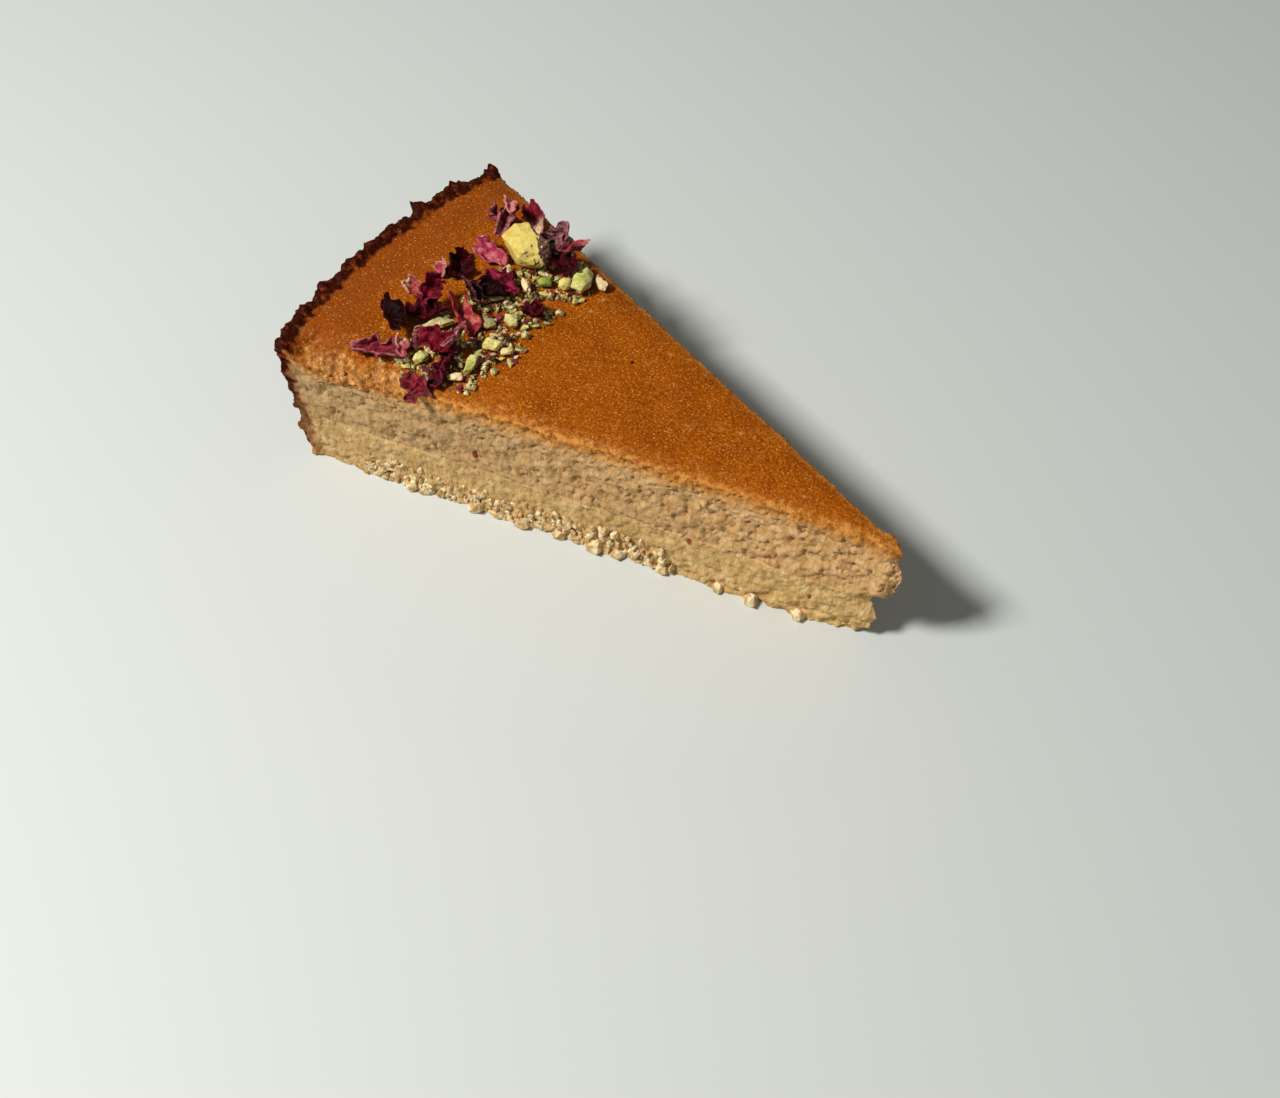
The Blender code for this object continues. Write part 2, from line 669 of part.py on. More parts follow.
def add_to_heap(heap, points, faces):
    first = len(heap["points"])
    heap["points"] += points
    heap["faces"] += [tuple(first + i for i in face) for face in faces]
    heap["tree"] = BVHTree.FromPolygons(heap["points"], heap["faces"])


def around(points, candidates):
    """The candidates that lie over or under the box of the points, seen from above."""
    x_low = min(point.x for point in points) - GAP
    x_high = max(point.x for point in points) + GAP
    y_low = min(point.y for point in points) - GAP
    y_high = max(point.y for point in points) + GAP
    return [p for p in candidates if x_low < p.x < x_high and y_low < p.y < y_high]


def is_clear(points, faces, heap, nearby):
    """Whether a piece keeps the gap to everything in the heap."""
    for point in points:
        if heap["tree"].find_nearest(point, GAP)[0] is not None:
            return False
    tree = BVHTree.FromPolygons(points, faces)
    for point in nearby:
        if tree.find_nearest(point, GAP)[0] is not None:
            return False
    return not tree.overlap(heap["tree"])


def lowered(points, faces, heap):
    """The piece's points when it has come down until it lies just above the heap."""
    down, up = Vector((0, 0, -1)), Vector((0, 0, 1))
    drop = DROP_HEIGHT
    nearby = around(points, heap["points"])
    for point in points:
        hit = heap["tree"].ray_cast(point, down)
        if hit[0] is not None:
            drop = min(drop, hit[3])
    tree = BVHTree.FromPolygons(points, faces)
    for point in nearby:
        hit = tree.ray_cast(point, up)
        if hit[0] is not None:
            drop = min(drop, hit[3])
    shift = Vector((0, 0, GAP - drop))
    points = [point + shift for point in points]
    while not is_clear(points, faces, heap, nearby):
        points = [point + up * SETTLE_STEP for point in points]
    return points


def placing(x, y, turn, tilt, roll):
    """The matrix that turns a topping and holds it over its place on the cake."""
    angles = (math.radians(roll), math.radians(-tilt), math.radians(turn))
    place = Vector((TIP_X + x, y, HEIGHT + DROP_HEIGHT / 2))
    return Matrix.Translation(place) @ Euler(angles).to_matrix().to_4x4()


def settled(local_points, faces, middle, angles, heap, rng):
    """The piece's points in the lowest of the poses tried near the wanted one."""
    best = None
    for attempt in range(SETTLE_TRIES):
        spread = min(attempt, 1)
        shift = [rng.gauss(0, SETTLE_SHIFT) * spread for _ in range(2)]
        turned = [angle + rng.gauss(0, SETTLE_ANGLE) * spread for angle in angles]
        x, y = middle.x + shift[0], middle.y + shift[1]
        if min(near_distance(x, y), far_distance(x, y)) < EDGE_MARGIN and attempt:
            continue
        matrix = placing(x, y, *turned)
        points = lowered([matrix @ point for point in local_points], faces, heap)
        height = sum(point.z for point in points) / len(points) - HEIGHT
        cost = height + SHIFT_COST * math.hypot(*shift)
        if best is None or cost < best[0]:
            best = (cost, points)
    return best[1]


def points_and_faces(bm):
    bm.verts.index_update()
    faces = [tuple(vertex.index for vertex in face.verts) for face in bm.faces]
    return [vertex.co.copy() for vertex in bm.verts], faces


def place_topping(name, bm, middle, angles, heaps, rng, material):
    """Settles the piece that this bmesh holds and adds it to the scene and both heaps."""
    whole, toppings = heaps
    local_points, faces = points_and_faces(bm)
    points = settled(local_points, faces, middle, angles, whole, rng)
    for vertex, point in zip(bm.verts, points):
        vertex.co = point
    add_to_heap(whole, points, faces)
    add_to_heap(toppings, points, faces)
    obj = object_from(name, bm)
    obj.data.materials.append(material)


def make_nut(name, index, heaps, material):
    *ends, over_top, width, height, tilt, roll = NUTS[name]
    middle, length, turn = seen_between(ends, over_top * MM)
    rng = random.Random(NUT_SEED + index)
    corners = KERNEL_CORNERS if name == "pistachio_kernel" else FRAGMENT_CORNERS
    size = Vector((length, width * MM, height * MM))
    fragment = chunk(rng, corners, size, Matrix())
    place_topping(name, fragment, middle, (turn, tilt, roll), heaps, rng, material)


def make_petal(name, index, heaps, material):
    *ends, over_top, width, tilt, roll, curl, bend, fold, ruffle = PETALS[name]
    middle, length, turn = seen_between(ends, over_top * MM)
    shape = (PETAL_SPARE * length, width * MM, curl, bend, fold, ruffle)
    leaf = petal(shape, PETAL_SEED_STEP * index)
    rng = random.Random(PETAL_SEED + index)
    place_topping(name, leaf, middle, (turn, tilt, roll), heaps, rng, material)


def nut_crumbs(bare, toppings):
    """Small nut crumbs in the free places between the toppings, sunk into the bare top."""
    rng = random.Random(CRUMB_SEED)
    crumbs = []
    x_low, x_high, y_low, y_high = CRUMB_BAND
    for attempt in range(CRUMB_TRIES):
        x = TIP_X + rng.uniform(x_low, x_high)
        y = rng.uniform(y_low, y_high)
        size = rng.uniform(*CRUMB_SIZES)
        shape = random.Random(rng.random())
        hit = bare["tree"].ray_cast(Vector((x, y, HEIGHT + DROP_HEIGHT)), Vector((0, 0, -1)))
        margin = min(near_distance(x - TIP_X, y), far_distance(x - TIP_X, y))
        if hit[0] is None or margin < EDGE_MARGIN or len(crumbs) == CRUMB_COUNT:
            continue
        matrix = Matrix.Translation(hit[0] + Vector((0, 0, CRUMB_LIFT * size)))
        bm = chunk(shape, CRUMB_CORNERS, size * CRUMB_SHAPE, matrix)
        points, faces = points_and_faces(bm)
        if is_clear(points, faces, toppings, around(points, toppings["points"])):
            add_to_heap(toppings, points, faces)
            crumbs.append(object_from(f"crumb_{attempt}", bm))
        else:
            bm.free()
    return crumbs


def make_toppings(cake):
    """The nuts and petals on the cake, and the crumbs fused to it between them."""
    nut_material = make_material("pistachio", NUT_COLOUR, NUT_ROUGHNESS)
    petal_material = make_material("petal", PETAL_COLOUR, PETAL_ROUGHNESS)
    bare = heap_of(cake)
    toppings = {"points": [], "faces": []}
    heaps = (heap_of(cake), toppings)
    for index, name in enumerate(NUTS):
        make_nut(name, index, heaps, nut_material)
    for index, name in enumerate(PETALS):
        make_petal(name, index, heaps, petal_material)
    union(cake, nut_crumbs(bare, toppings))
    keep_largest_body(cake)


def main():
    clear_scene()
    upper = make_cake()
    make_toppings(upper)


main()
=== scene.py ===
"""The looks of a slice of almond cake with dried rose petals and chopped pistachios.

The slice is built again with its fine crumb, in the frame's metres, +Z up. Its tip points
to +X. The petals and nuts start from their solids in the frame and get their fine form here.
"""

import math
import random

import bmesh
import bpy
from mathutils import Euler, Matrix, Quaternion, Vector, noise
from mathutils.bvhtree import BVHTree
from mathutils.kdtree import KDTree


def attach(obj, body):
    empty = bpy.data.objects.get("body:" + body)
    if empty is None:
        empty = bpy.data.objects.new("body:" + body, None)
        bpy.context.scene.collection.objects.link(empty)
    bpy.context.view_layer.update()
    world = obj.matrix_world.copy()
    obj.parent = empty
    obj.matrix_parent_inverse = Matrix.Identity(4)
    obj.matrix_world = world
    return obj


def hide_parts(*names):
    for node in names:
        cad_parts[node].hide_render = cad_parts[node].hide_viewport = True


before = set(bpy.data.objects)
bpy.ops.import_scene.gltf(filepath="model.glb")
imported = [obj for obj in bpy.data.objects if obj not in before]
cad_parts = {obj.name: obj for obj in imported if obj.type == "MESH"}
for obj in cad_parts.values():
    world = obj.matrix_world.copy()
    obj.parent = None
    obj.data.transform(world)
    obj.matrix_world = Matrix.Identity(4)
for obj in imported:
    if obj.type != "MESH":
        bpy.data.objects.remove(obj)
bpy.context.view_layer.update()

MM = 0.001

# Camera
CAMERA_PLACE = (123.5 * MM, -155.7 * MM, 249.5 * MM)
CAMERA_FORWARD = (-0.3561, 0.4705, -0.8074)
CAMERA_ROLL = math.radians(0.3)
CAMERA_LENS = 42.19
CAMERA_SENSOR = 36
CAMERA_NEAR = 10 * MM

# Floor and light
FLOOR_SIZE = 6.0
FLOOR_COLOUR = (0.62, 0.66, 0.64, 1)
FLOOR_ROUGHNESS = 0.6
SKY_COLOUR = (1.0, 0.98, 0.95, 1)
SKY_STRENGTH = 0.16
LIGHT_DIRECTION = (-0.334, -0.523, 0.799)
LIGHT_DISTANCE = 0.9
LIGHT_SIZE = 0.16
LIGHT_POWER = 9.2
LIGHT_COLOUR = (1.0, 0.97, 0.93)

# Slice, as in the solids
RADIUS = 130 * MM
HALF_ANGLE = math.radians(15)
HEIGHT = 33 * MM
BASE_HEIGHT = 13.5 * MM
WALL_TAPER = 2.2 * MM
TIP_X = 65.0 * MM
TIP_HALF_WIDTH = 1.7 * MM
TIP_PROFILE = (
    (-2 * MM, -7.0 * MM),
    (0 * MM, -6.0 * MM),
    (3 * MM, -3.0 * MM),
    (8 * MM, -1.8 * MM),
    (11 * MM, -3.4 * MM),
    (13 * MM, -4.2 * MM),
    (16 * MM, 0.2 * MM),
    (19 * MM, 0.6 * MM),
    (22 * MM, 1.6 * MM),
    (25 * MM, 1.2 * MM),
    (28 * MM, -0.4 * MM),
    (33 * MM, 0.4 * MM),
)
RIM_WIDTH = 3.5 * MM
RIM_EDGE = 1 * MM
RIM_RISE = 0.7 * MM
RIM_CRAG = 0.7
CRAG_DEPTH = 1.3 * MM
CRAG_SIZE = 4.5 * MM
CRAG_NOISE = (0.9, 2.1, 3)
CRUMB_DEPTH = 0.55 * MM
CRUMB_SIZE = 3.2 * MM
CRUMB_NOISE = (0.8, 2.2, 3)
CUT_WANDER = 0.5 * MM
CUT_WANDER_SIZE = 16 * MM
TOP_SWELL = 0.25 * MM
TOP_SWELL_SIZE = 9 * MM
EDGE_ROUNDING = 1.1 * MM
EDGE_ROUNDING_WIDTH = 2.2 * MM
TOP_NORMALS = (0.45, 0.85)
WALL_NORMALS = (0.3, 0.7)
WALL_BAND = (9 * MM, 5 * MM)
AIRY_HEIGHTS = (BASE_HEIGHT - 2 * MM, BASE_HEIGHT + 3 * MM)
GRAINY_HEIGHTS = (2 * MM, 8 * MM)
TOP_DEPTHS = (9 * MM, 1 * MM)
CRUMB_PLAIN = 0.7
CRUMB_AIRY = 0.3
CRUMB_GRAINY = 0.8
WORN_DEPTH = 3.4 * MM
WORN_WIDTH = 9.5 * MM
WORN_FROM = 93 * MM
WORN_TO = 128 * MM
WORN_FADE_IN = 16 * MM
WORN_FADE_OUT = 5 * MM
WORN_PLAIN = 0.85
WORN_UNEVEN = 0.5
WORN_UNEVEN_SIZE = 5 * MM
LEVEL_STEP = 1.5 * MM
SIDE_POINTS = 40
ARC_POINTS = 24
BELOW_BASE = 1.5 * MM

# Fine crumb, with its grains taller than wide
FACE_TALL = 0.6
VOXEL = 0.36 * MM
GRAIN_SIZE = 1.3 * MM
GRAIN_DEPTH = 0.24 * MM
GRAIN_LEVEL = 0.45
FINE_SIZE = 0.75 * MM
FINE_DEPTH = 0.16 * MM
FINE_NOISE = (0.6, 2.3, 3)
PORE_SIZE = 1.5 * MM
PORE_DEPTH = 0.55 * MM
PORE_NOISE = (0.7, 2.1, 3)
PORE_OFFSET = Vector((53 * MM, 12 * MM, 9 * MM))
PORE_EDGE = (0.22, 0.70)
PORE_BELOW = 0.3
TEETH_SIZE = 1.7 * MM
TEETH_DEPTH = 0.75 * MM
TEETH_NOISE = (0.7, 2.1, 2)
FOOT_GRAIN_SIZE = 2.2 * MM
FOOT_GRAIN_DEPTH = 1.0 * MM
FOOT_GRAIN_LEVEL = 0.42
TOP_FINE = 0.3
WORN_CRUMB = 2.4
WORN_GRAIN = 4.0
WORN_FINE = 4.5
WORN_PORES = 2.5

# Where the crust, the toasted rim and the golden edge begin and are complete
RAGGED = 1.1 * MM
RAGGED_SIZE = 1.5 * MM
RIM_RAGGED = 1.6
CRUST_DEPTHS = (2.3 * MM, 0.5 * MM)
WORN_PATCH = 0.45
WORN_PATCH_SIZE = 2.4 * MM
BARE_FROM = (0.45, 0.85)
GOLD_WORN = (0.10, 0.45)
GOLD_SHARE = 0.5
GOLD_BAND = (4.5 * MM, 0.5 * MM)
GOLD_DEPTHS = (5.0 * MM, 1.0 * MM)
GOLD_WANDER = 2.0 * MM
GOLD_WANDER_SIZE = 6 * MM
GLOW_ACROSS = (1.9 * MM, 0.0 * MM)
GLOW_DEPTHS = (5.2 * MM, 1.4 * MM)
FACE_BAND = (4.2 * MM, 1.0 * MM)
FACE_LOW = 0.5
RIM_BAND = (5.2 * MM, 1.9 * MM)
HALO_BAND = (24 * MM, 4 * MM)
HALO_SHARE = 0.45
# Painted shade: the cut faces darken a little towards the rim
FACE_PAINTED_SHADE = 0.08
# Between these places along the slice, the crumb goes from painted shade at the rim end to painted
# light at the tip
PAINTED_SHADING_FROM = -55 * MM
PAINTED_SHADING_TO = 60 * MM

# Petals and nuts
QUAD_ANGLE = math.radians(70)
SHARP_ANGLE = math.radians(55)
SAME_PLACE = 0.001 * MM
RIDGE_STEPS = 8
WEAR_STEPS = 3
WEAR = 0.5
PETAL_LEVELS = 3
CREASE_SIZE = 1.7 * MM
CREASE_DEPTH = 0.40 * MM
RIB_SIZE = 0.9 * MM
RIB_DEPTH = 0.30 * MM
RIB_LEVEL = 0.25
EDGE_LINE = 0.16 * MM
NUT_LEVELS = 3
NUT_ROUGH = 0.22 * MM
KERNEL_LEVELS = 4
KERNEL_ROUGH = 0.24 * MM
CHIP_SIZE = 2.0 * MM
FINE_CHIP_SIZE = 0.6 * MM
FINE_CHIP_SHARE = 0.5

# Fragments, with the same wear as the solids have, and the crumbs between the toppings
GOLDEN_ANGLE = math.pi * (3 - math.sqrt(5))
CORNER_STRAY = 0.4
BOXINESS = 0.55
LEAST_REACH = 0.82
CRUMB_LIFT = 0.22
CRUMB_CORNERS = 9
CRUMB_MARGIN = 2.5 * MM
ABOVE_ALL = 2 * HEIGHT
GAP = 0.3 * MM

# Crumbs that stick out at the foot of the cut faces, as in the solids, and smaller granules
# between them that only the looks have
FOOT_CRUMB_OUT = 0.1
FOOT_CRUMB_LIFT = 0.55
FOOT_CRUMB_SHAPE = Vector((2.0, 1.9, 1.7))
FOOT_CRUMB_CORNERS = 12
GRANULE_SEED = 21
GRANULE_COUNTS = {"near": 420, "far": 260}
GRANULE_SIZES = (0.6 * MM, 2.0 * MM)
GRANULE_FROM = 16 * MM
GRANULE_TO = 86 * MM
GRANULE_HEIGHT = 7 * MM
GRANULE_OUT = (-0.45, 0.15)
GRANULE_LOWNESS = 2
GRANULE_LIFT = FOOT_CRUMB_LIFT / 2
FOOT_CRUMBS = (
    ("near", 27 * MM, 1.9 * MM),
    ("near", 30 * MM, 1.6 * MM),
    ("near", 42 * MM, 2.1 * MM),
    ("near", 47 * MM, 1.5 * MM),
    ("near", 53 * MM, 2.0 * MM),
    ("near", 61 * MM, 1.6 * MM),
    ("near", 69 * MM, 2.1 * MM),
    ("near", 74 * MM, 1.7 * MM),
    ("near", 84 * MM, 1.6 * MM),
    ("near", 96 * MM, 1.5 * MM),
    ("near", 103 * MM, 2.0 * MM),
    ("near", 113 * MM, 1.8 * MM),
    ("far", 24 * MM, 1.8 * MM),
    ("far", 45 * MM, 1.9 * MM),
    ("far", 66 * MM, 1.7 * MM),
    ("far", 88 * MM, 2.0 * MM),
    ("far", 108 * MM, 1.7 * MM),
)

# Colours in linear light
CRUST_DEEP = (0.20, 0.036, 0.0008)
CRUST_GOLD = (0.37, 0.088, 0.002)
# The colour of the painted glints on the crust
CRUST_PAINTED_GLINT = (0.85, 0.45, 0.11)
CRUST_EDGE = (0.52, 0.185, 0.014)
EDGE_GLOW = (0.64, 0.285, 0.062)
TOAST = (0.034, 0.004, 0.0006)
TOAST_WARM = (0.21, 0.042, 0.006)
CRUMB_BEIGE = (0.50, 0.288, 0.115)
CRUMB_PALE = (0.70, 0.465, 0.23)
CRUMB_DARK = (0.34, 0.17, 0.06)
BASE_BEIGE = (0.50, 0.31, 0.115)
BASE_PALE = (0.74, 0.54, 0.25)
BASE_DARK = (0.34, 0.18, 0.055)
GRANULE = (0.82, 0.69, 0.42)
SPECK = (0.26, 0.062, 0.024)
# Painted shade at the rim end of the cut faces, and painted light at the tip, multiplied into the crumb
CAKE_RIM_PAINTED_SHADE = (0.86, 0.91, 0.97)
BASE_RIM_PAINTED_SHADE = (1.0, 1.0, 1.05)
TIP_PAINTED_LIGHT = (1.12, 1.11, 1.10)
GOLD_DARK = (0.20, 0.055, 0.006)
WINE = (0.070, 0.003, 0.007)
CRIMSON = (0.26, 0.011, 0.028)
BLACK = (0.008, 0.001, 0.001)
MAGENTA = (0.33, 0.024, 0.068)
PINK = (0.58, 0.18, 0.19)
SALMON = (0.56, 0.16, 0.10)
CREAM = (0.74, 0.52, 0.33)
MAUVE = (0.34, 0.13, 0.15)
YELLOW = (0.66, 0.56, 0.13)
LIME = (0.42, 0.44, 0.07)
GREEN = (0.19, 0.27, 0.04)
GREY_GREEN = (0.36, 0.32, 0.12)
PALE_NUT = (0.80, 0.70, 0.30)
KERNEL_GOLD = (0.66, 0.49, 0.085)
KERNEL_PALE = (0.80, 0.65, 0.20)
# Dark enough to also paint the shade among the toppings
OLIVE = (0.15, 0.10, 0.03)
NUT_BROWN = (0.26, 0.22, 0.06)
NUT_SHADE = (0.22, 0.19, 0.03)
SKIN_DARK = (0.10, 0.035, 0.025)
SKIN_PALE = (0.36, 0.20, 0.15)

# Noise in the shaders: the size of its features, its detail and its roughness
CRUMB_TONE = (1.8 * MM, 4.0, 0.65)
CRUMB_BROAD = (12 * MM, 2.0, 0.55)
CRUST_TONE = (9 * MM, 3.0, 0.5)
CRUST_FINE = (0.5 * MM, 3.0, 0.65)
GOLD_BITS = (1.3 * MM, 4.0, 0.7)
CHAR = (1.6 * MM, 4.0, 0.7)
CAKE_FINE = (0.4 * MM, 3.0, 0.6)
PETAL_PATCH = (2.2 * MM, 4.0, 0.6)
PETAL_VEINS = (0.6 * MM, 3.0, 0.7)
NUT_PATCH = (2.0 * MM, 4.0, 0.6)
NUT_FINE = (0.5 * MM, 3.0, 0.6)
BIT_TONE = (1.6 * MM, 2.0, 0.5)
BIT_FINE = (0.35 * MM, 3.0, 0.6)

# Cells in the shaders, and specks with their spacing and their size as a share of it
ALMOND_GRAIN = 0.9 * MM
PIT_SIZE = 0.6 * MM
CRUMB_SPECKS = (9 * MM, 0.09)
CRUST_SPECKS = (8 * MM, 0.07)
CRUST_GRAINS = (0.62 * MM, 0.30)
# Spacing and size of the painted glints on the crust
CRUST_PAINTED_GLINTS = (0.72 * MM, 0.22)
SPECK_CELLS = (0.50, 0.52)
SPECK_EDGE = 0.6

# From and to which value one colour gives way to the next. Where the shares at both ends
# aren't 0 and 1, they follow
TONE_PALE = (0.38, 0.80)
TONE_DARK = (0.46, 0.30, 0.0, 0.3)
BROAD_DARK = (0.3, 0.7, 0.0, 0.3)
GRAIN_CELLS = (0.62, 0.9)
CRUST_TONES = (0.30, 0.70, 0.35, 0.85)
CRUST_DARK = (0.50, 0.32)
CRUST_LIGHT = (0.52, 0.66, 0.0, 0.7)
CRUST_ROUGHNESS = (0.2, 0.9, 0.85, 0.5)
BITS_EDGE = (0.40, 0.56)
BITS_PALE = (0.54, 0.66)
BITS_GLOW = (0.36, 0.62, 0.12, 0.80)
BROWNED = (0.0, 0.6)
BROWNED_PATCHES = (0.34, 0.62, 1.15, 0.65)
BURNT = (0.45, 0.90)
BURNT_PATCHES = (0.50, 0.70)
PETAL_PATCHES = (0.44, 0.60)
VEINS_DARK = (0.52, 0.34, 0.0, 0.8)
NUT_PATCHES = (0.35, 0.68)
NUT_DARK = (0.42, 0.25, 0.0, 0.45)
SKIN_TONES = (0.4, 0.65)
BIT_TONES = (0.40, 0.62)
BIT_DARK = (0.45, 0.28, 0.0, 0.6)

# How much of one colour is mixed into another
GRAIN_SHARE = 0.35
# Painted shade in the pores of the crumb
PORE_PAINTED_SHADE = 0.35
BROAD_SHARE = 0.5
GOLD_ON_CRUMB = 0.75
GOLD_ON_CRUST = 0.7
BROWNED_SHARE = 0.75
# How strongly the painted glints show on the crust
PAINTED_GLINT_SHARE = 0.7
# Painted highlight on the raised ribs of the petals
RIB_PAINTED_HIGHLIGHT = 0.12

# The claw of a petal ends raggedly, and so does the skin, on the sides that face this way
CLAW_RAGGED = 0.3
SKIN_SIDE = (0.80, 0.45, 0.1)
SKIN_RAGGED = 0.15
SKIN_FROM = 0.92
SKIN_TO = 1.0

# Roughness, gloss, and depth and strength of the bump
CAKE_GLOSS = 0.05
CAKE_BUMP = (0.25 * MM, 0.7)
PIT_SHARE = 0.7
PETAL_ROUGHNESS = 0.55
PETAL_GLOSS = 0.06
PETAL_BUMP = (0.2 * MM, 0.7)
NUT_ROUGHNESS = 0.5
NUT_GLOSS = 0.4
NUT_BUMP = (0.3 * MM, 0.8)
BIT_ROUGHNESS = 0.7
BIT_BUMP = (0.15 * MM, 0.7)

# The nut crumbs come from the same draws as the ones fused to the solid. The rest are
# shards that lie within reach of the bigger toppings
CRUMB_BAND = (-103 * MM, -85 * MM, -25 * MM, 24 * MM)
SHARD_BAND = (-104 * MM, -84 * MM, -25 * MM, 24 * MM)
SHARD_TURN = (0.5, 0.5, 3.1)
CRUMBS = {
    "nut_crumbs": {
        "seed": 11, "tries": 420, "count": 60, "slot": "pistachio", "band": CRUMB_BAND,
        "sizes": (1.3 * MM, 2.4 * MM), "shape": (1.0, 0.8, 0.75), "reach": 0,
        "colours": (NUT_BROWN, PALE_NUT, SKIN_DARK)},
    # Real crumbs, packed close to the toppings and dark enough to also paint the shade among them
    "olive_dust_and_shade": {
        "seed": 16, "tries": 5200, "count": 900, "slot": "pistachio", "band": SHARD_BAND,
        "sizes": (0.4 * MM, 1.1 * MM), "shape": (1.0, 0.7, 0.6), "reach": 2.4 * MM,
        "colours": (OLIVE, GREY_GREEN, SKIN_DARK)},
    "nut_shards": {
        "seed": 12, "tries": 1300, "count": 150, "slot": "pistachio", "band": SHARD_BAND,
        "sizes": (1.0 * MM, 2.8 * MM), "shape": (1.0, 0.5, 0.4), "reach": 2.2 * MM,
        "colours": (GREY_GREEN, YELLOW, OLIVE)},
    "pale_shards": {
        "seed": 14, "tries": 1600, "count": 220, "slot": "pistachio", "band": SHARD_BAND,
        "sizes": (0.6 * MM, 1.8 * MM), "shape": (1.0, 0.55, 0.4), "reach": 2.4 * MM,
        "colours": (OLIVE, CREAM, NUT_SHADE)},
    "petal_flakes": {
        "seed": 15, "tries": 900, "count": 90, "slot": "petal", "band": SHARD_BAND,
        "sizes": (1.0 * MM, 2.8 * MM), "shape": (1.0, 0.7, 0.2), "reach": 2.0 * MM,
        "colours": (WINE, CRIMSON, BLACK)},
}


def smooth_step(low, high, value):
    """0 below low, 1 above high and a smooth rise between them."""
    t = min(max((value - low) / (high - low), 0.0), 1.0)
    return t * t * (3 - 2 * t)


def from_table(table, value):
    """The table's second column at this value of its first, on straight lines between."""
    for (x0, y0), (x1, y1) in zip(table, table[1:]):
        if value <= x1:
            return y0 + (y1 - y0) * (value - x0) / (x1 - x0)
    return table[-1][1]


def near_distance(x, y):
    """How far a point is from the near cut face. x is measured from the apex."""
    return -x * math.sin(HALF_ANGLE) + y * math.cos(HALF_ANGLE)


def far_distance(x, y):
    """How far a point is from the far cut face. x is measured from the apex."""
    return near_distance(x, -y)


# Shader building

def add_node(tree, kind, settings=None, **inputs):
    """A new node. An input that is a socket is linked, and any other value is set."""
    made = tree.nodes.new(kind)
    for key, value in (settings or {}).items():
        setattr(made, key, value)
    for key, value in inputs.items():
        socket = made.inputs[key.replace("_", " ")]
        if isinstance(value, bpy.types.NodeSocket):
            tree.links.new(value, socket)
        elif isinstance(value, tuple):
            socket.default_value = (*value, 1) if socket.type == "RGBA" else value
        else:
            socket.default_value = value
    return made


def mix(tree, factor, first, second, blend="MIX"):
    """The colour between two others by this factor."""
    made = tree.nodes.new("ShaderNodeMix")
    made.data_type = "RGBA"
    made.blend_type = blend
    for socket, value in zip((made.inputs[0], made.inputs[6], made.inputs[7]), (factor, first, second)):
        if isinstance(value, bpy.types.NodeSocket):
            tree.links.new(value, socket)
        else:
            socket.default_value = (*value, 1) if isinstance(value, tuple) else value
    return made.outputs[2]


def ramp(tree, value, low, high, to_low=0.0, to_high=1.0):
    """The value brought from one range to another, and kept inside it."""
    made = add_node(tree, "ShaderNodeMapRange", {"interpolation_type": "SMOOTHSTEP"},
                    Value=value, From_Min=low, From_Max=high, To_Min=to_low, To_Max=to_high)
    return made.outputs["Result"]


def math_node(tree, operation, first, second):
    """A sum, product or the like of two values or sockets."""
    made = tree.nodes.new("ShaderNodeMath")
    made.operation = operation
    for socket, value in zip(made.inputs, (first, second)):
        if isinstance(value, bpy.types.NodeSocket):
            tree.links.new(value, socket)
        else:
            socket.default_value = value
    return made.outputs[0]


def times(tree, first, second):
    return math_node(tree, "MULTIPLY", first, second)


def noise_at(tree, place, size, detail, roughness):
    """Soft noise with features of this size in metres."""
    made = add_node(tree, "ShaderNodeTexNoise", Vector=place, Scale=1 / size, Detail=detail,
                    Roughness=roughness)
    return made.outputs["Fac"]


def cells_at(tree, place, size):
    """Cells of this size in metres: the distance output and the colour of each cell."""
    made = add_node(tree, "ShaderNodeTexVoronoi", Vector=place, Scale=1 / size)
    return made.outputs["Distance"], made.outputs["Color"]


def attribute(tree, name):
    """The value that the mesh holds at each point under this name."""
    return add_node(tree, "ShaderNodeAttribute", {"attribute_name": name}).outputs["Fac"]


def new_material(name):
    """A material with its tree, its shader and its coordinates in metres."""
    material = bpy.data.materials.new(name)
    material.use_nodes = True
    tree = material.node_tree
    shader = tree.nodes["Principled BSDF"]
    place = tree.nodes.new("ShaderNodeTexCoord").outputs["Object"]
    return material, tree, shader, place


def set_bump(tree, shader, height, distance, strength):
    bump = add_node(tree, "ShaderNodeBump", Strength=strength, Distance=distance, Height=height)
    tree.links.new(bump.outputs["Normal"], shader.inputs["Normal"])


def specks(tree, place, spacing, size):
    """Round specks at this spacing, each as wide as this share of it, and not in every cell."""
    distance, cell = cells_at(tree, place, spacing)
    return times(tree, ramp(tree, cell, *SPECK_CELLS), ramp(tree, distance, size, SPECK_EDGE * size))


def crumb_colour(tree, place, plain, pale, dark):
    """The crumb's colour: pale almond grains in a plain ground, with painted shade in its hollows."""
    tone = noise_at(tree, place, *CRUMB_TONE)
    broad = noise_at(tree, place, *CRUMB_BROAD)
    _, cell = cells_at(tree, place, ALMOND_GRAIN)
    grain = times(tree, ramp(tree, cell, *GRAIN_CELLS), GRAIN_SHARE)
    hollow = times(tree, attribute(tree, "pore"), PORE_PAINTED_SHADE)
    colour = mix(tree, ramp(tree, tone, *TONE_PALE), plain, pale)
    colour = mix(tree, grain, colour, pale)
    colour = mix(tree, ramp(tree, tone, *TONE_DARK), colour, dark)
    # Painted shade in the pores
    colour = mix(tree, hollow, colour, dark)
    colour = mix(tree, ramp(tree, broad, *BROAD_DARK), colour, mix(tree, BROAD_SHARE, colour, dark))
    return mix(tree, specks(tree, place, *CRUMB_SPECKS), colour, SPECK)


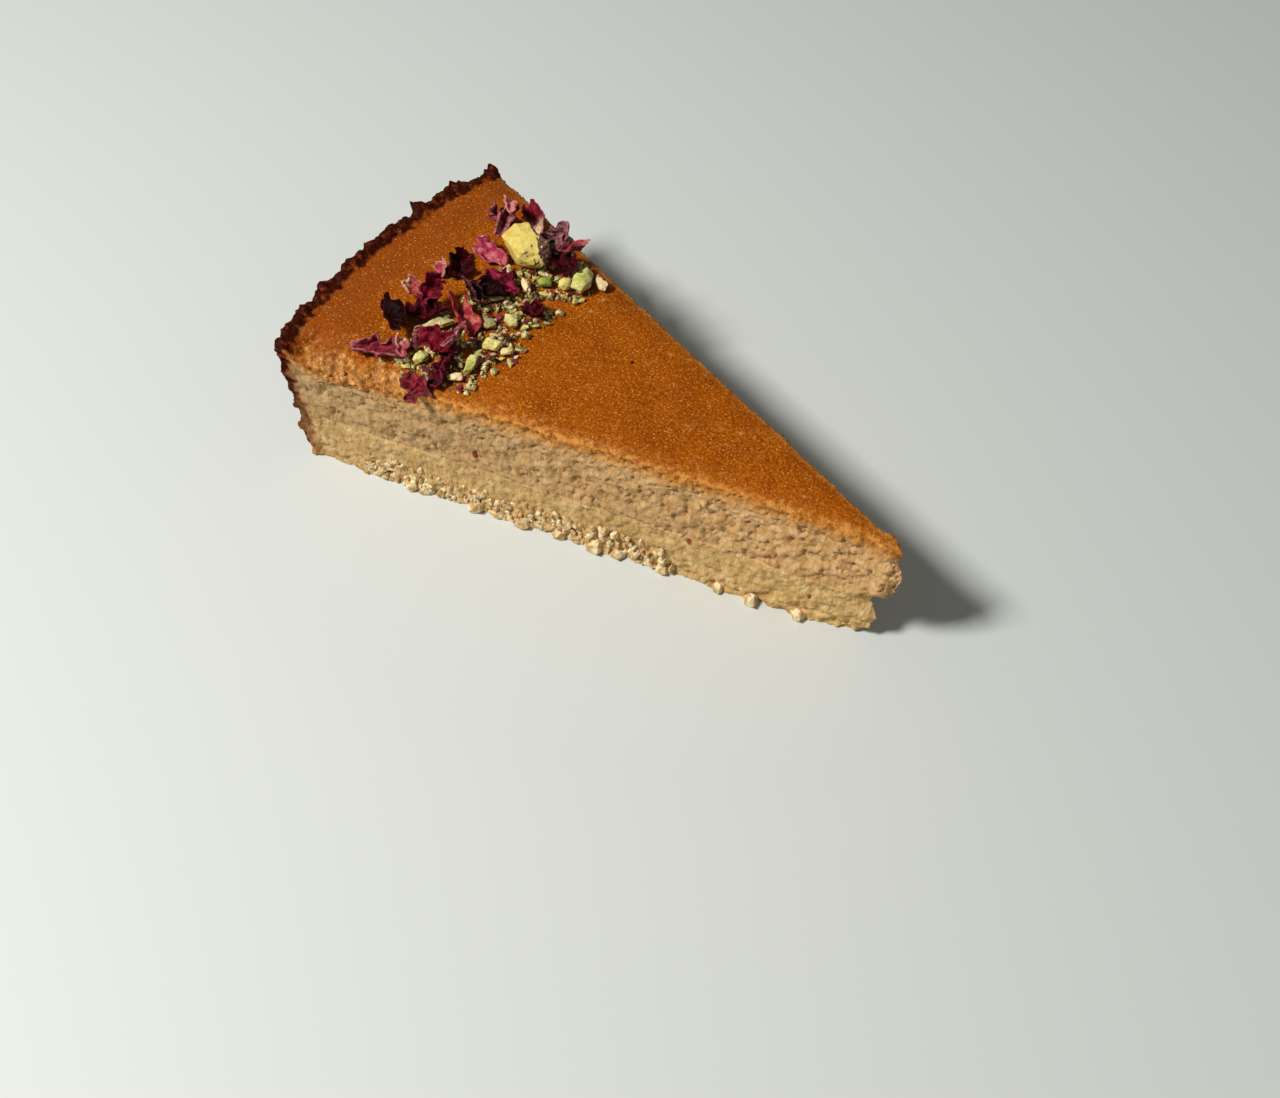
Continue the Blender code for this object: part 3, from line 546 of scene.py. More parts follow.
def crust_colour(tree, place):
    """The baked top: even golden brown, finely mottled, with a few dark specks."""
    tone = noise_at(tree, place, *CRUST_TONE)
    fine = noise_at(tree, place, *CRUST_FINE)
    colour = mix(tree, ramp(tree, tone, *CRUST_TONES), CRUST_DEEP, CRUST_GOLD)
    colour = mix(tree, ramp(tree, fine, *CRUST_DARK), colour, CRUST_DEEP)
    colour = mix(tree, ramp(tree, fine, *CRUST_LIGHT), colour, CRUST_EDGE)
    colour = mix(tree, specks(tree, place, *CRUST_GRAINS), colour, CRUST_EDGE)
    return mix(tree, specks(tree, place, *CRUST_SPECKS), colour, TOAST)


def cake_material(name, plain, pale, dark, rim_end_shade):
    """Crumb inside, baked crust where the mesh says so, and a toasted rim and wall."""
    material, tree, shader, place = new_material(name)
    crust, toast_and_shade, gold, glow = (attribute(tree, key) for key in ("crust", "toast_and_shade", "gold", "glow"))
    tall = add_node(tree, "ShaderNodeMapping", Vector=place, Scale=(1.0, 1.0, FACE_TALL))
    tall = tall.outputs["Vector"]
    # Crumb, with painted shade towards the rim and painted light towards the tip
    along = add_node(tree, "ShaderNodeSeparateXYZ", Vector=place).outputs["X"]
    painted_shading = mix(tree, ramp(tree, along, PAINTED_SHADING_FROM, PAINTED_SHADING_TO), rim_end_shade, TIP_PAINTED_LIGHT)
    colour = mix(tree, 1.0, crumb_colour(tree, tall, plain, pale, dark), painted_shading, "MULTIPLY")
    # Golden crumb at the worn edge, the baked top and the light line at its cut edges
    bits = noise_at(tree, place, *GOLD_BITS)
    golden = mix(tree, ramp(tree, bits, *BITS_EDGE), GOLD_DARK, CRUST_EDGE)
    golden = mix(tree, ramp(tree, bits, *BITS_PALE), golden, pale)
    colour = mix(tree, times(tree, gold, GOLD_ON_CRUMB), colour, golden)
    top = crust_colour(tree, place)
    top = mix(tree, gold, top, mix(tree, GOLD_ON_CRUST, top, golden))
    colour = mix(tree, crust, colour, top)
    colour = mix(tree, times(tree, glow, ramp(tree, bits, *BITS_GLOW)), colour, EDGE_GLOW)
    # Browning towards the rim, with a little painted shade on the cut faces there, painted glints on
    # the crust, and the burnt rim and wall
    char = noise_at(tree, place, *CHAR)
    browned = times(tree, ramp(tree, toast_and_shade, *BROWNED), ramp(tree, char, *BROWNED_PATCHES))
    colour = mix(tree, browned, colour, mix(tree, BROWNED_SHARE, colour, TOAST_WARM))
    # Painted glints: bright specks on the crust in place of highlights
    painted_glints = times(tree, specks(tree, place, *CRUST_PAINTED_GLINTS), crust)
    colour = mix(tree, times(tree, painted_glints, PAINTED_GLINT_SHARE), colour, CRUST_PAINTED_GLINT)
    burnt = mix(tree, ramp(tree, char, *BURNT_PATCHES), TOAST, TOAST_WARM)
    colour = mix(tree, ramp(tree, toast_and_shade, *BURNT), colour, burnt)
    tree.links.new(colour, shader.inputs["Base Color"])
    tree.links.new(ramp(tree, crust, *CRUST_ROUGHNESS), shader.inputs["Roughness"])
    shader.inputs["Specular IOR Level"].default_value = CAKE_GLOSS
    pits, _ = cells_at(tree, tall, PIT_SIZE)
    height = math_node(tree, "ADD", noise_at(tree, tall, *CAKE_FINE), times(tree, pits, PIT_SHARE))
    set_bump(tree, shader, height, *CAKE_BUMP)
    return material


# The cake

def slice_outline(z):
    """The slice's outline at height z, anticlockwise from the near end of its rim."""
    tip = from_table(TIP_PROFILE, z)
    radius = RADIUS - WALL_TAPER * (1 - max(z, 0) / HEIGHT)
    corner = -radius * math.cos(HALF_ANGLE)
    near = []
    for i in range(SIDE_POINTS):
        x = corner + (tip - corner) * i / SIDE_POINTS
        half = max(-x * math.tan(HALF_ANGLE), TIP_HALF_WIDTH)
        into_tip = max(x - (tip - TIP_HALF_WIDTH), 0) / TIP_HALF_WIDTH
        near.append((x, -half * math.sqrt(1 - into_tip**2)))
    far = [(x, -y) for x, y in reversed(near)]
    arc = []
    for i in range(1, ARC_POINTS):
        angle = HALF_ANGLE * (1 - 2 * i / ARC_POINTS)
        arc.append((-radius * math.cos(angle), radius * math.sin(angle)))
    return near + [(tip, 0)] + far + arc


def smooth_slice():
    """The slice with smooth faces, as one closed loft of its outlines."""
    bm = bmesh.new()
    count = math.ceil((HEIGHT + BELOW_BASE) / LEVEL_STEP)
    rings = []
    for level in range(count + 1):
        z = -BELOW_BASE + (HEIGHT + BELOW_BASE) * level / count
        rings.append([bm.verts.new((TIP_X + x, y, z)) for x, y in slice_outline(z)])
    for lower, upper in zip(rings, rings[1:]):
        for i in range(len(lower)):
            j = (i + 1) % len(lower)
            bm.faces.new((lower[i], lower[j], upper[j], upper[i]))
    bm.faces.new(reversed(rings[0]))
    bm.faces.new(rings[-1])
    return object_from("cake", bm)


def object_from(name, bm):
    """A new object in the scene that holds this bmesh, which is freed."""
    mesh = bpy.data.meshes.new(name)
    bm.to_mesh(mesh)
    bm.free()
    obj = bpy.data.objects.new(name, mesh)
    bpy.context.scene.collection.objects.link(obj)
    return obj


def apply_modifiers(obj):
    """The object's mesh becomes what its modifiers make of it."""
    graph = bpy.context.evaluated_depsgraph_get()
    old = obj.data
    obj.data = bpy.data.meshes.new_from_object(obj.evaluated_get(graph))
    obj.modifiers.clear()
    bpy.data.meshes.remove(old)


def worn_share(point):
    """How much the near top edge is worn away here, from 0 to about 1."""
    x, y, _ = point
    along = math.hypot(x, y)
    begun = smooth_step(WORN_FROM, WORN_FROM + WORN_FADE_IN, along)
    ended = smooth_step(WORN_TO - WORN_FADE_OUT, WORN_TO, along)
    inside = smooth_step(0, WORN_WIDTH, max(near_distance(x, y), 0))
    uneven = WORN_PLAIN + WORN_UNEVEN * noise.noise(point / WORN_UNEVEN_SIZE)
    return begun * (1 - ended) * (1 - inside) * uneven


def top_drop(point):
    """How far the top lies below its plane: rounded at the cuts, worn near the rim."""
    x, y, z = point
    rounding = 0
    for distance in (near_distance(x, y), far_distance(x, y)):
        rounding += math.exp(-max(distance, 0) / EDGE_ROUNDING_WIDTH)
    high = smooth_step(*TOP_DEPTHS, HEIGHT - z)
    return high * (EDGE_ROUNDING * rounding + WORN_DEPTH * worn_share(point))


def fractal(point, size, character):
    """Noise with its largest features of this size. character is as in the solids."""
    return noise.fractal(point / size, *character)


def shares(point, normal):
    """How much of a point is top, wall and cut face, and how worn it is."""
    radius = math.hypot(point.x, point.y)
    top = smooth_step(*TOP_NORMALS, normal.z)
    wall = smooth_step(*WALL_NORMALS, -normal.x) * smooth_step(*WALL_BAND, RADIUS - radius)
    return top, wall, (1 - top) * (1 - wall), worn_share(point)


def relief(point, top, wall, cut, worn):
    """How far the surface stands out here, and how much of a pore is here."""
    x, y, z = point
    # The same broad relief as the solids have
    crag = fractal(point, CRAG_SIZE, CRAG_NOISE) * CRAG_DEPTH
    crumb = fractal(point, CRUMB_SIZE, CRUMB_NOISE) * CRUMB_DEPTH
    wander = noise.noise(point / CUT_WANDER_SIZE) * CUT_WANDER
    swell = noise.noise(point / TOP_SWELL_SIZE) * TOP_SWELL
    airy = smooth_step(*AIRY_HEIGHTS, z)
    grainy = 1 - smooth_step(*GRAINY_HEIGHTS, z)
    rim = smooth_step(RIM_WIDTH, RIM_EDGE, RADIUS - math.hypot(x, y))
    # Finer grains, pores and teeth
    tall = Vector((x, y, FACE_TALL * z))
    cells, _ = noise.voronoi(tall / GRAIN_SIZE)
    grain = GRAIN_DEPTH * (GRAIN_LEVEL - cells[0])
    fine = fractal(tall, FINE_SIZE, FINE_NOISE) * FINE_DEPTH
    hollow = fractal(tall + PORE_OFFSET, PORE_SIZE, PORE_NOISE)
    pore = smooth_step(*PORE_EDGE, hollow) * (PORE_BELOW + (1 - PORE_BELOW) * airy)
    teeth = fractal(point, TEETH_SIZE, TEETH_NOISE) * TEETH_DEPTH
    foot_cells, _ = noise.voronoi(point / FOOT_GRAIN_SIZE)
    foot = grainy * FOOT_GRAIN_DEPTH * (FOOT_GRAIN_LEVEL - foot_cells[0])
    on_top = swell + rim * (RIM_RISE + RIM_CRAG * crag + teeth) + TOP_FINE * fine
    on_top += worn * (WORN_CRUMB * crumb + WORN_GRAIN * grain + WORN_FINE * fine)
    on_top -= worn * WORN_PORES * PORE_DEPTH * pore
    on_cut = wander + crumb * (CRUMB_PLAIN + CRUMB_AIRY * airy + CRUMB_GRAINY * grainy)
    on_cut += grain + fine - PORE_DEPTH * pore + foot
    return top * on_top + wall * (crag + teeth + grain) + cut * on_cut, cut * pore


def colour_masks(point, top, worn):
    """How much crust, toast with a little painted shade, gold and glow is here."""
    x, y, z = point
    ragged = RAGGED * noise.noise(point / RAGGED_SIZE)
    depth = HEIGHT - z - ragged
    bare = worn + WORN_PATCH * noise.noise(point / WORN_PATCH_SIZE)
    crust = smooth_step(*CRUST_DEPTHS, depth) * (1 - smooth_step(*BARE_FROM, bare))
    edge = near_distance(x, y) + GOLD_WANDER * noise.noise(point / GOLD_WANDER_SIZE)
    gold = max(GOLD_SHARE * smooth_step(*GOLD_BAND, edge), smooth_step(*GOLD_WORN, bare))
    gold *= smooth_step(*GOLD_DEPTHS, depth)
    from_rim = RADIUS - math.hypot(x, y) - WALL_TAPER * (1 - z / HEIGHT) + RIM_RAGGED * ragged
    on_face = smooth_step(*FACE_BAND, from_rim) * (FACE_LOW + (1 - FACE_LOW) * z / HEIGHT)
    halo = smooth_step(*HALO_BAND, from_rim)
    on_rim = top * smooth_step(*RIM_BAND, from_rim)
    # The last term is painted shade on the cut faces towards the rim
    toast_and_shade = max(on_face, on_rim, crust * HALO_SHARE * halo, FACE_PAINTED_SHADE * halo)
    across = min(near_distance(x, y), far_distance(x, y))
    glow = smooth_step(*GLOW_ACROSS, across) * smooth_step(*GLOW_DEPTHS, depth)
    return crust, toast_and_shade, gold, glow * max(1 - worn, 0)


def add_attribute(mesh, name, values):
    mesh.attributes.new(name, "FLOAT", "POINT").data.foreach_set("value", values)


def add_surface(obj):
    """Gives the slice its uneven surface, and the colour masks as attributes."""
    apex = Vector((TIP_X, 0, 0))
    mesh = obj.data
    masks = {name: [] for name in ("pore", "crust", "toast_and_shade", "gold", "glow")}
    moved = []
    for vertex in mesh.vertices:
        point = vertex.co - apex
        normal = vertex.normal.copy()
        top, wall, cut, worn = shares(point, normal)
        out, pore = relief(point, top, wall, cut, worn)
        place = vertex.co + normal * out
        place.z -= top_drop(point)
        moved.extend(place)
        for mask, value in zip(masks.values(), (pore, *colour_masks(point, top, worn))):
            mask.append(value)
    mesh.vertices.foreach_set("co", moved)
    for name, values in masks.items():
        add_attribute(mesh, name, values)
    mesh.update()


def part_of(obj, name, low, high):
    """The part of a closed mesh between two heights, closed with flat faces."""
    bm = bmesh.new()
    bm.from_mesh(obj.data)
    for height, direction in ((low, -1), (high, 1)):
        if height is None:
            continue
        cut = bmesh.ops.bisect_plane(
            bm, geom=bm.verts[:] + bm.edges[:] + bm.faces[:], plane_co=(0, 0, height),
            plane_no=(0, 0, direction), clear_outer=True)
        edges = [item for item in cut["geom_cut"] if isinstance(item, bmesh.types.BMEdge)]
        bmesh.ops.triangle_fill(bm, edges=edges, normal=(0, 0, direction))
    bmesh.ops.recalc_face_normals(bm, faces=bm.faces[:])
    piece = object_from(name, bm)
    piece.data.shade_smooth()
    return piece


def finish_piece(piece, slot, *nodes):
    """The piece moves with the slice and stands for these nodes. The slot is not used."""
    if nodes:
        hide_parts(*nodes)
    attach(piece, "root")


def make_cake():
    """The two layers, from one slice with a fine surface."""
    cake = smooth_slice()
    remesh = cake.modifiers.new("even mesh", "REMESH")
    remesh.mode = "VOXEL"
    remesh.voxel_size = VOXEL
    apply_modifiers(cake)
    add_surface(cake)
    upper = part_of(cake, "cake_crumb", BASE_HEIGHT, None)
    lower = part_of(cake, "base_crumb", 0, BASE_HEIGHT)
    bpy.data.objects.remove(cake, do_unlink=True)
    upper.data.materials.append(cake_material("cake", CRUMB_BEIGE, CRUMB_PALE, CRUMB_DARK, CAKE_RIM_PAINTED_SHADE))
    lower.data.materials.append(cake_material("base", BASE_BEIGE, BASE_PALE, BASE_DARK, BASE_RIM_PAINTED_SHADE))
    finish_piece(upper, "cake", "cake_layer")
    finish_piece(lower, "base", "almond_base")


# Petals and nuts

def ends_of(points):
    """The two points of a piece that lie farthest apart, the one nearer to the rim first."""
    middle = sum(points, Vector()) / len(points)
    first = max(points, key=lambda point: (point - middle).length)
    last = max(points, key=lambda point: (point - first).length)
    return sorted((first, last), key=lambda point: point.x)


def ridge_points(bm):
    """Points along a petal's sharp edges, which are its outline and its outward creases."""
    points = []
    for edge in bm.edges:
        if edge.is_manifold and edge.calc_face_angle_signed() > SHARP_ANGLE:
            first, last = (vertex.co for vertex in edge.verts)
            points += [first.lerp(last, i / RIDGE_STEPS) for i in range(RIDGE_STEPS)]
    return points


def refined(name, node_name, levels):
    """A finer copy of a node's mesh with slightly worn edges, and its ridge points."""
    bm = bmesh.new()
    bm.from_mesh(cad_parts[node_name].data)
    bmesh.ops.remove_doubles(bm, verts=bm.verts[:], dist=SAME_PLACE)
    ridges = ridge_points(bm)
    bmesh.ops.join_triangles(bm, faces=bm.faces[:], angle_face_threshold=QUAD_ANGLE,
                             angle_shape_threshold=QUAD_ANGLE)
    piece = object_from(name, bm)
    modifier = piece.modifiers.new("finer", "SUBSURF")
    modifier.subdivision_type = "SIMPLE"
    modifier.levels = modifier.render_levels = levels
    apply_modifiers(piece)
    bm = bmesh.new()
    bm.from_mesh(piece.data)
    for _ in range(WEAR_STEPS):
        bmesh.ops.smooth_vert(bm, verts=bm.verts[:], factor=WEAR, use_axis_x=True,
                              use_axis_y=True, use_axis_z=True)
    bm.to_mesh(piece.data)
    bm.free()
    return piece, ridges


def dress(piece, material, slot, node_name):
    """The piece takes its one material and the place of its node."""
    piece.data.shade_smooth()
    piece.data.materials.clear()
    piece.data.materials.append(material)
    finish_piece(piece, slot, node_name)


def make_petal(node_name, look):
    """A dried petal, crumpled more finely, with what its colours need as attributes."""
    piece, ridges = refined(node_name + "_look", node_name, PETAL_LEVELS)
    mesh = piece.data
    points = [vertex.co.copy() for vertex in mesh.vertices]
    first, last = ends_of(points)
    if look["flip"]:
        first, last = last, first
    run = last - first
    near = KDTree(len(ridges))
    for index, ridge in enumerate(ridges):
        near.insert(ridge, index)
    near.balance()
    moved, along, edge, rib = [], [], [], []
    for vertex, point in zip(mesh.vertices, points):
        fold = abs(noise.noise(point / RIB_SIZE))
        drift = noise.noise_vector(point / CREASE_SIZE) * CREASE_DEPTH
        moved.extend(point + drift + vertex.normal * RIB_DEPTH * (RIB_LEVEL - fold))
        along.append((point - first).dot(run) / run.length_squared)
        edge.append(math.exp(-near.find(point)[2] / EDGE_LINE))
        rib.append(1 - smooth_step(0, RIB_LEVEL, fold))
    mesh.vertices.foreach_set("co", moved)
    mesh.update()
    for name, values in (("along", along), ("edge", edge), ("rib", rib)):
        add_attribute(mesh, name, values)
    dress(piece, petal_material(node_name, look), "petal", node_name)


def make_nut(node_name, look):
    """A broken piece of nut: its flat faces stay, its corners and surface get rough."""
    kernel = node_name == "pistachio_kernel"
    piece, _ = refined(node_name + "_look", node_name, KERNEL_LEVELS if kernel else NUT_LEVELS)
    rough = KERNEL_ROUGH if kernel else NUT_ROUGH
    moved = []
    for vertex in piece.data.vertices:
        chip = noise.noise(vertex.co / CHIP_SIZE)
        chip += FINE_CHIP_SHARE * noise.noise(vertex.co / FINE_CHIP_SIZE)
        moved.extend(vertex.co + vertex.normal * rough * chip)
    piece.data.vertices.foreach_set("co", moved)
    piece.data.update()
    dress(piece, nut_material(node_name, look), "pistachio", node_name)


def petal_material(name, look):
    """Dry petal: a colour at the claw and one in the middle, dark patches, edges that are partly paler
    and partly painted highlight, and painted highlight on the ribs.
    """
    material, tree, shader, place = new_material(name)
    along, edge, rib = (attribute(tree, key) for key in ("along", "edge", "rib"))
    patch = noise_at(tree, place, *PETAL_PATCH)
    veins = noise_at(tree, place, *PETAL_VEINS)
    ragged = math_node(tree, "ADD", along, times(tree, patch, CLAW_RAGGED))
    claw = ramp(tree, ragged, look["claw_from"], look["claw_to"], 1.0, 0.0)
    colour = mix(tree, ramp(tree, patch, *PETAL_PATCHES), look["dark"], look["main"])
    colour = mix(tree, claw, colour, look["claw"])
    colour = mix(tree, ramp(tree, veins, *VEINS_DARK), colour, look["dark"])
    # Painted highlight along the raised ribs
    colour = mix(tree, times(tree, rib, RIB_PAINTED_HIGHLIGHT), colour, look["rim"])
    # The edges and outward creases are partly paler from wear and partly painted highlight
    colour = mix(tree, times(tree, edge, look["rim_share"]), colour, look["rim"])
    tree.links.new(colour, shader.inputs["Base Color"])
    shader.inputs["Roughness"].default_value = PETAL_ROUGHNESS
    shader.inputs["Specular IOR Level"].default_value = PETAL_GLOSS
    set_bump(tree, shader, veins, *PETAL_BUMP)
    return material


def nut_material(name, look):
    """Pistachio flesh with paler broken faces and, in places, its brown papery skin."""
    material, tree, shader, place = new_material(name)
    patch = noise_at(tree, place, *NUT_PATCH)
    fine = noise_at(tree, place, *NUT_FINE)
    colour = mix(tree, ramp(tree, patch, *NUT_PATCHES), look["main"], look["pale"])
    colour = mix(tree, ramp(tree, fine, *NUT_DARK), colour, look["dark"])
    normal = tree.nodes.new("ShaderNodeNewGeometry").outputs["Normal"]
    facing = add_node(tree, "ShaderNodeVectorMath", {"operation": "DOT_PRODUCT"})
    tree.links.new(normal, facing.inputs[0])
    facing.inputs[1].default_value = SKIN_SIDE
    ragged = math_node(tree, "ADD", facing.outputs["Value"], times(tree, patch, SKIN_RAGGED))
    skin = ramp(tree, ragged, SKIN_FROM - look["skin"], SKIN_TO - look["skin"])
    papery = mix(tree, ramp(tree, fine, *SKIN_TONES), SKIN_DARK, SKIN_PALE)
    colour = mix(tree, skin, colour, papery)
    tree.links.new(colour, shader.inputs["Base Color"])
    shader.inputs["Roughness"].default_value = NUT_ROUGHNESS
    shader.inputs["Specular IOR Level"].default_value = NUT_GLOSS
    set_bump(tree, shader, fine, *NUT_BUMP)
    return material


def petal_look(main, dark, claw, rim, claw_from=0.05, claw_to=0.3, rim_share=0.4, flip=False):
    """A petal's colours, where its claw ends, the strength of its edge, and if it is turned."""
    return {"main": main, "dark": dark, "claw": claw, "rim": rim, "claw_from": claw_from,
            "claw_to": claw_to, "rim_share": rim_share, "flip": flip}


def nut_look(main, pale, dark, skin=0.0):
    """The colours of a nut, and the share of it that still has its skin."""
    return {"main": main, "pale": pale, "dark": dark, "skin": skin}


PETAL_LOOKS = {
    "petal_wine": petal_look(WINE, BLACK, CRIMSON, CRIMSON),
    "petal_far_dark": petal_look(MAUVE, BLACK, MAUVE, PINK, rim_share=0.3),
    "petal_far_shadow": petal_look(WINE, BLACK, BLACK, WINE),
    "petal_far_crimson": petal_look(CRIMSON, WINE, PINK, PINK, 0.2, 0.6, flip=True),
    "petal_far_magenta": petal_look(CRIMSON, WINE, CREAM, MAGENTA, 0.35, 0.75, flip=True),
    "petal_far_ruffled": petal_look(MAGENTA, WINE, PINK, PINK, rim_share=0.7),
    "petal_far_curl": petal_look(MAUVE, WINE, PINK, PINK, rim_share=0.7),
    "petal_pink": petal_look(PINK, MAGENTA, MAGENTA, PINK),
    "petal_upright": petal_look(WINE, BLACK, MAGENTA, BLACK, 0.1, 0.5),
    "petal_black": petal_look(BLACK, BLACK, WINE, WINE),
    "petal_blush": petal_look(PINK, MAGENTA, CREAM, CREAM, rim_share=0.6),
    "petal_crimson": petal_look(MAGENTA, WINE, CRIMSON, MAGENTA),
    "petal_clump": petal_look(WINE, BLACK, MAGENTA, CRIMSON),
    "petal_dark_fold": petal_look(BLACK, BLACK, WINE, PINK, rim_share=0.25),
    "petal_salmon_tip": petal_look(SALMON, CRIMSON, CREAM, PINK, 0.2, 0.6),
    "petal_rim": petal_look(CRIMSON, WINE, WINE, MAGENTA, rim_share=0.6),
    "petal_ribbed": petal_look(SALMON, CRIMSON, SALMON, CRIMSON, rim_share=0.3),
    "petal_pod": petal_look(CRIMSON, WINE, SALMON, PINK, rim_share=0.9),
    "petal_overhang": petal_look(CRIMSON, WINE, WINE, PINK, rim_share=0.3),
    "petal_long": petal_look(WINE, BLACK, CRIMSON, MAGENTA, rim_share=0.5),
    "petal_rose": petal_look(CRIMSON, WINE, CREAM, MAGENTA, 0.0, 0.35),
    "petal_mauve": petal_look(MAUVE, WINE, MAUVE, PINK),
    "petal_claw": petal_look(PINK, CRIMSON, CREAM, PINK, 0.3, 0.8),
    # petal_twig is near black all over: the shade on its side that turns from the light is painted into
    # it
    "petal_twig": petal_look(BLACK, BLACK, WINE, WINE, rim_share=0.3),
    "petal_cream": petal_look(CREAM, PINK, CREAM, PINK),
}
NUT_LOOKS = {
    "pistachio_kernel": nut_look(KERNEL_GOLD, KERNEL_PALE, LIME, 0.55),
    "pistachio_light": nut_look(LIME, PALE_NUT, GREEN),
    "pistachio_cube": nut_look(YELLOW, PALE_NUT, NUT_SHADE),
    "pistachio_sliver": nut_look(PALE_NUT, CREAM, YELLOW),
    "pistachio_skin_sliver": nut_look(CREAM, PALE_NUT, NUT_SHADE, 0.6),
    "pistachio_green": nut_look(GREEN, LIME, NUT_SHADE, 0.2),
    "pistachio_far_green": nut_look(GREEN, LIME, NUT_SHADE, 0.2),
    "pistachio_yellow_bit": nut_look(YELLOW, PALE_NUT, LIME),
    "pistachio_flake": nut_look(GREY_GREEN, PALE_NUT, NUT_SHADE),
    "pistachio_bit": nut_look(LIME, PALE_NUT, GREEN),
    "pistachio_grey": nut_look(GREY_GREEN, GREY_GREEN, NUT_SHADE),
    "pistachio_yellow": nut_look(YELLOW, PALE_NUT, LIME),
    "pistachio_small_yellow": nut_look(YELLOW, CREAM, NUT_SHADE),
    "pistachio_bright": nut_look(LIME, PALE_NUT, GREEN, 0.2),
    "pistachio_pale": nut_look(GREY_GREEN, PALE_NUT, GREEN, 0.2),
    "pistachio_front": nut_look(LIME, PALE_NUT, GREEN),
    "pistachio_edge": nut_look(PALE_NUT, CREAM, NUT_SHADE),
    "pistachio_right": nut_look(PALE_NUT, CREAM, NUT_SHADE, 0.5),
}


def chunk_points(rng, count, size):
    """Points spread over an uneven box with worn corners, the corners of a fragment."""
    points = []
    for i in range(count):
        height = 1 - 2 * (i + 0.5) / count
        turn = i * GOLDEN_ANGLE + rng.uniform(-CORNER_STRAY, CORNER_STRAY)
        flat = math.sqrt(1 - height * height)
        direction = Vector((flat * math.cos(turn), flat * math.sin(turn), height))
        boxed = direction / max(abs(direction.x), abs(direction.y), abs(direction.z))
        corner = direction.lerp(boxed, BOXINESS) * rng.uniform(LEAST_REACH, 1.0)
        points.append(corner * size / 2)
    return points


def chunk(rng, count, size, matrix):
    """The points and triangles of a closed fragment with flat broken faces."""
    bm = bmesh.new()
    for point in chunk_points(rng, count, size):
        bm.verts.new(matrix @ point)
    bmesh.ops.convex_hull(bm, input=bm.verts)
    loose = [vertex for vertex in bm.verts if not vertex.link_faces]
    bmesh.ops.delete(bm, geom=loose, context="VERTS")
    bmesh.ops.recalc_face_normals(bm, faces=bm.faces)
    bm.verts.index_update()
    points = [vertex.co.copy() for vertex in bm.verts]
    faces = [tuple(vertex.index for vertex in face.verts) for face in bm.faces]
    bm.free()
    return points, faces


def tree_of(meshes):
    """A search tree of all the faces of these meshes."""
    points, faces = [], []
    for mesh in meshes:
        first = len(points)
        points += [vertex.co.copy() for vertex in mesh.vertices]
        faces += [[first + i for i in polygon.vertices] for polygon in mesh.polygons]
    return BVHTree.FromPolygons(points, faces)


def is_free(points, tree, taken):
    """Whether a fragment keeps the gap to all that is in these trees."""
    middle = sum(points, Vector()) / len(points)
    reach = max((point - middle).length for point in points) + GAP
    for other in taken:
        if other.find_nearest(middle, reach)[0] is None:
            continue
        if any(other.find_nearest(point, GAP)[0] is not None for point in points):
            return False
        if tree.overlap(other):
            return False
    return True


def highest_hit(grounds, x, y):
    """Where a line straight down at this place meets the highest of these surfaces."""
    best = None
    for ground in grounds:
        place = ground.ray_cast(Vector((x, y, ABOVE_ALL)), Vector((0, 0, -1)))[0]
        if place is not None and (best is None or place.z > best.z):
            best = place
    return best


def top_crumbs(name, kind, grounds, taken):
    """Crumbs of one kind in the free places, on the top and on earlier crumbs, as one piece."""
    rng = random.Random(kind["seed"])
    x_low, x_high, y_low, y_high = kind["band"]
    bm = bmesh.new()
    kept = 0
    for _ in range(kind["tries"]):
        x = TIP_X + rng.uniform(x_low, x_high)
        y = rng.uniform(y_low, y_high)
        size = rng.uniform(*kind["sizes"])
        shape = random.Random(rng.random())
        hit = highest_hit(grounds, x, y)
        margin = min(near_distance(x - TIP_X, y), far_distance(x - TIP_X, y))
        if hit is None or margin < CRUMB_MARGIN or kept == kind["count"]:
            continue
        if kind["reach"] and taken[0].find_nearest(hit, kind["reach"])[0] is None:
            continue
        matrix = Matrix.Translation(hit + Vector((0, 0, CRUMB_LIFT * size)))
        if kind["reach"]:
            turn = [shape.uniform(-1, 1) * angle for angle in SHARD_TURN]
            matrix = matrix @ Euler(turn).to_matrix().to_4x4()
        points, faces = chunk(shape, CRUMB_CORNERS, size * Vector(kind["shape"]), matrix)
        tree = BVHTree.FromPolygons(points, faces)
        if not is_free(points, tree, taken[:1] if kind["reach"] else taken):
            continue
        taken.append(tree)
        kept += 1
        corners = [bm.verts.new(point) for point in points]
        for face in faces:
            bm.faces.new([corners[i] for i in face])
    piece = object_from(name, bm)
    grounds.append(tree_of([piece.data]))
    piece.data.materials.append(crumb_material(name, *kind["colours"]))
    finish_piece(piece, kind["slot"])


def foot_places():
    """Side, distance from the rim, size, distance out and height of each granule at the foot."""
    places = []
    for side, from_rim, size in FOOT_CRUMBS:
        places.append((side, from_rim, size * FOOT_CRUMB_SHAPE, FOOT_CRUMB_OUT * size,
                       FOOT_CRUMB_LIFT * size))
    rng = random.Random(GRANULE_SEED)
    for side, count in GRANULE_COUNTS.items():
        for _ in range(count):
            from_rim = GRANULE_FROM + (GRANULE_TO - GRANULE_FROM) * rng.random()
            shape = Vector([rng.uniform(*GRANULE_SIZES) for _ in range(3)])
            height = GRANULE_HEIGHT * rng.random() ** GRANULE_LOWNESS
            out = rng.uniform(*GRANULE_OUT) * shape.x * (1 - height / GRANULE_HEIGHT)
            places.append((side, from_rim, shape, out, height + GRANULE_LIFT * shape.z))
    return places


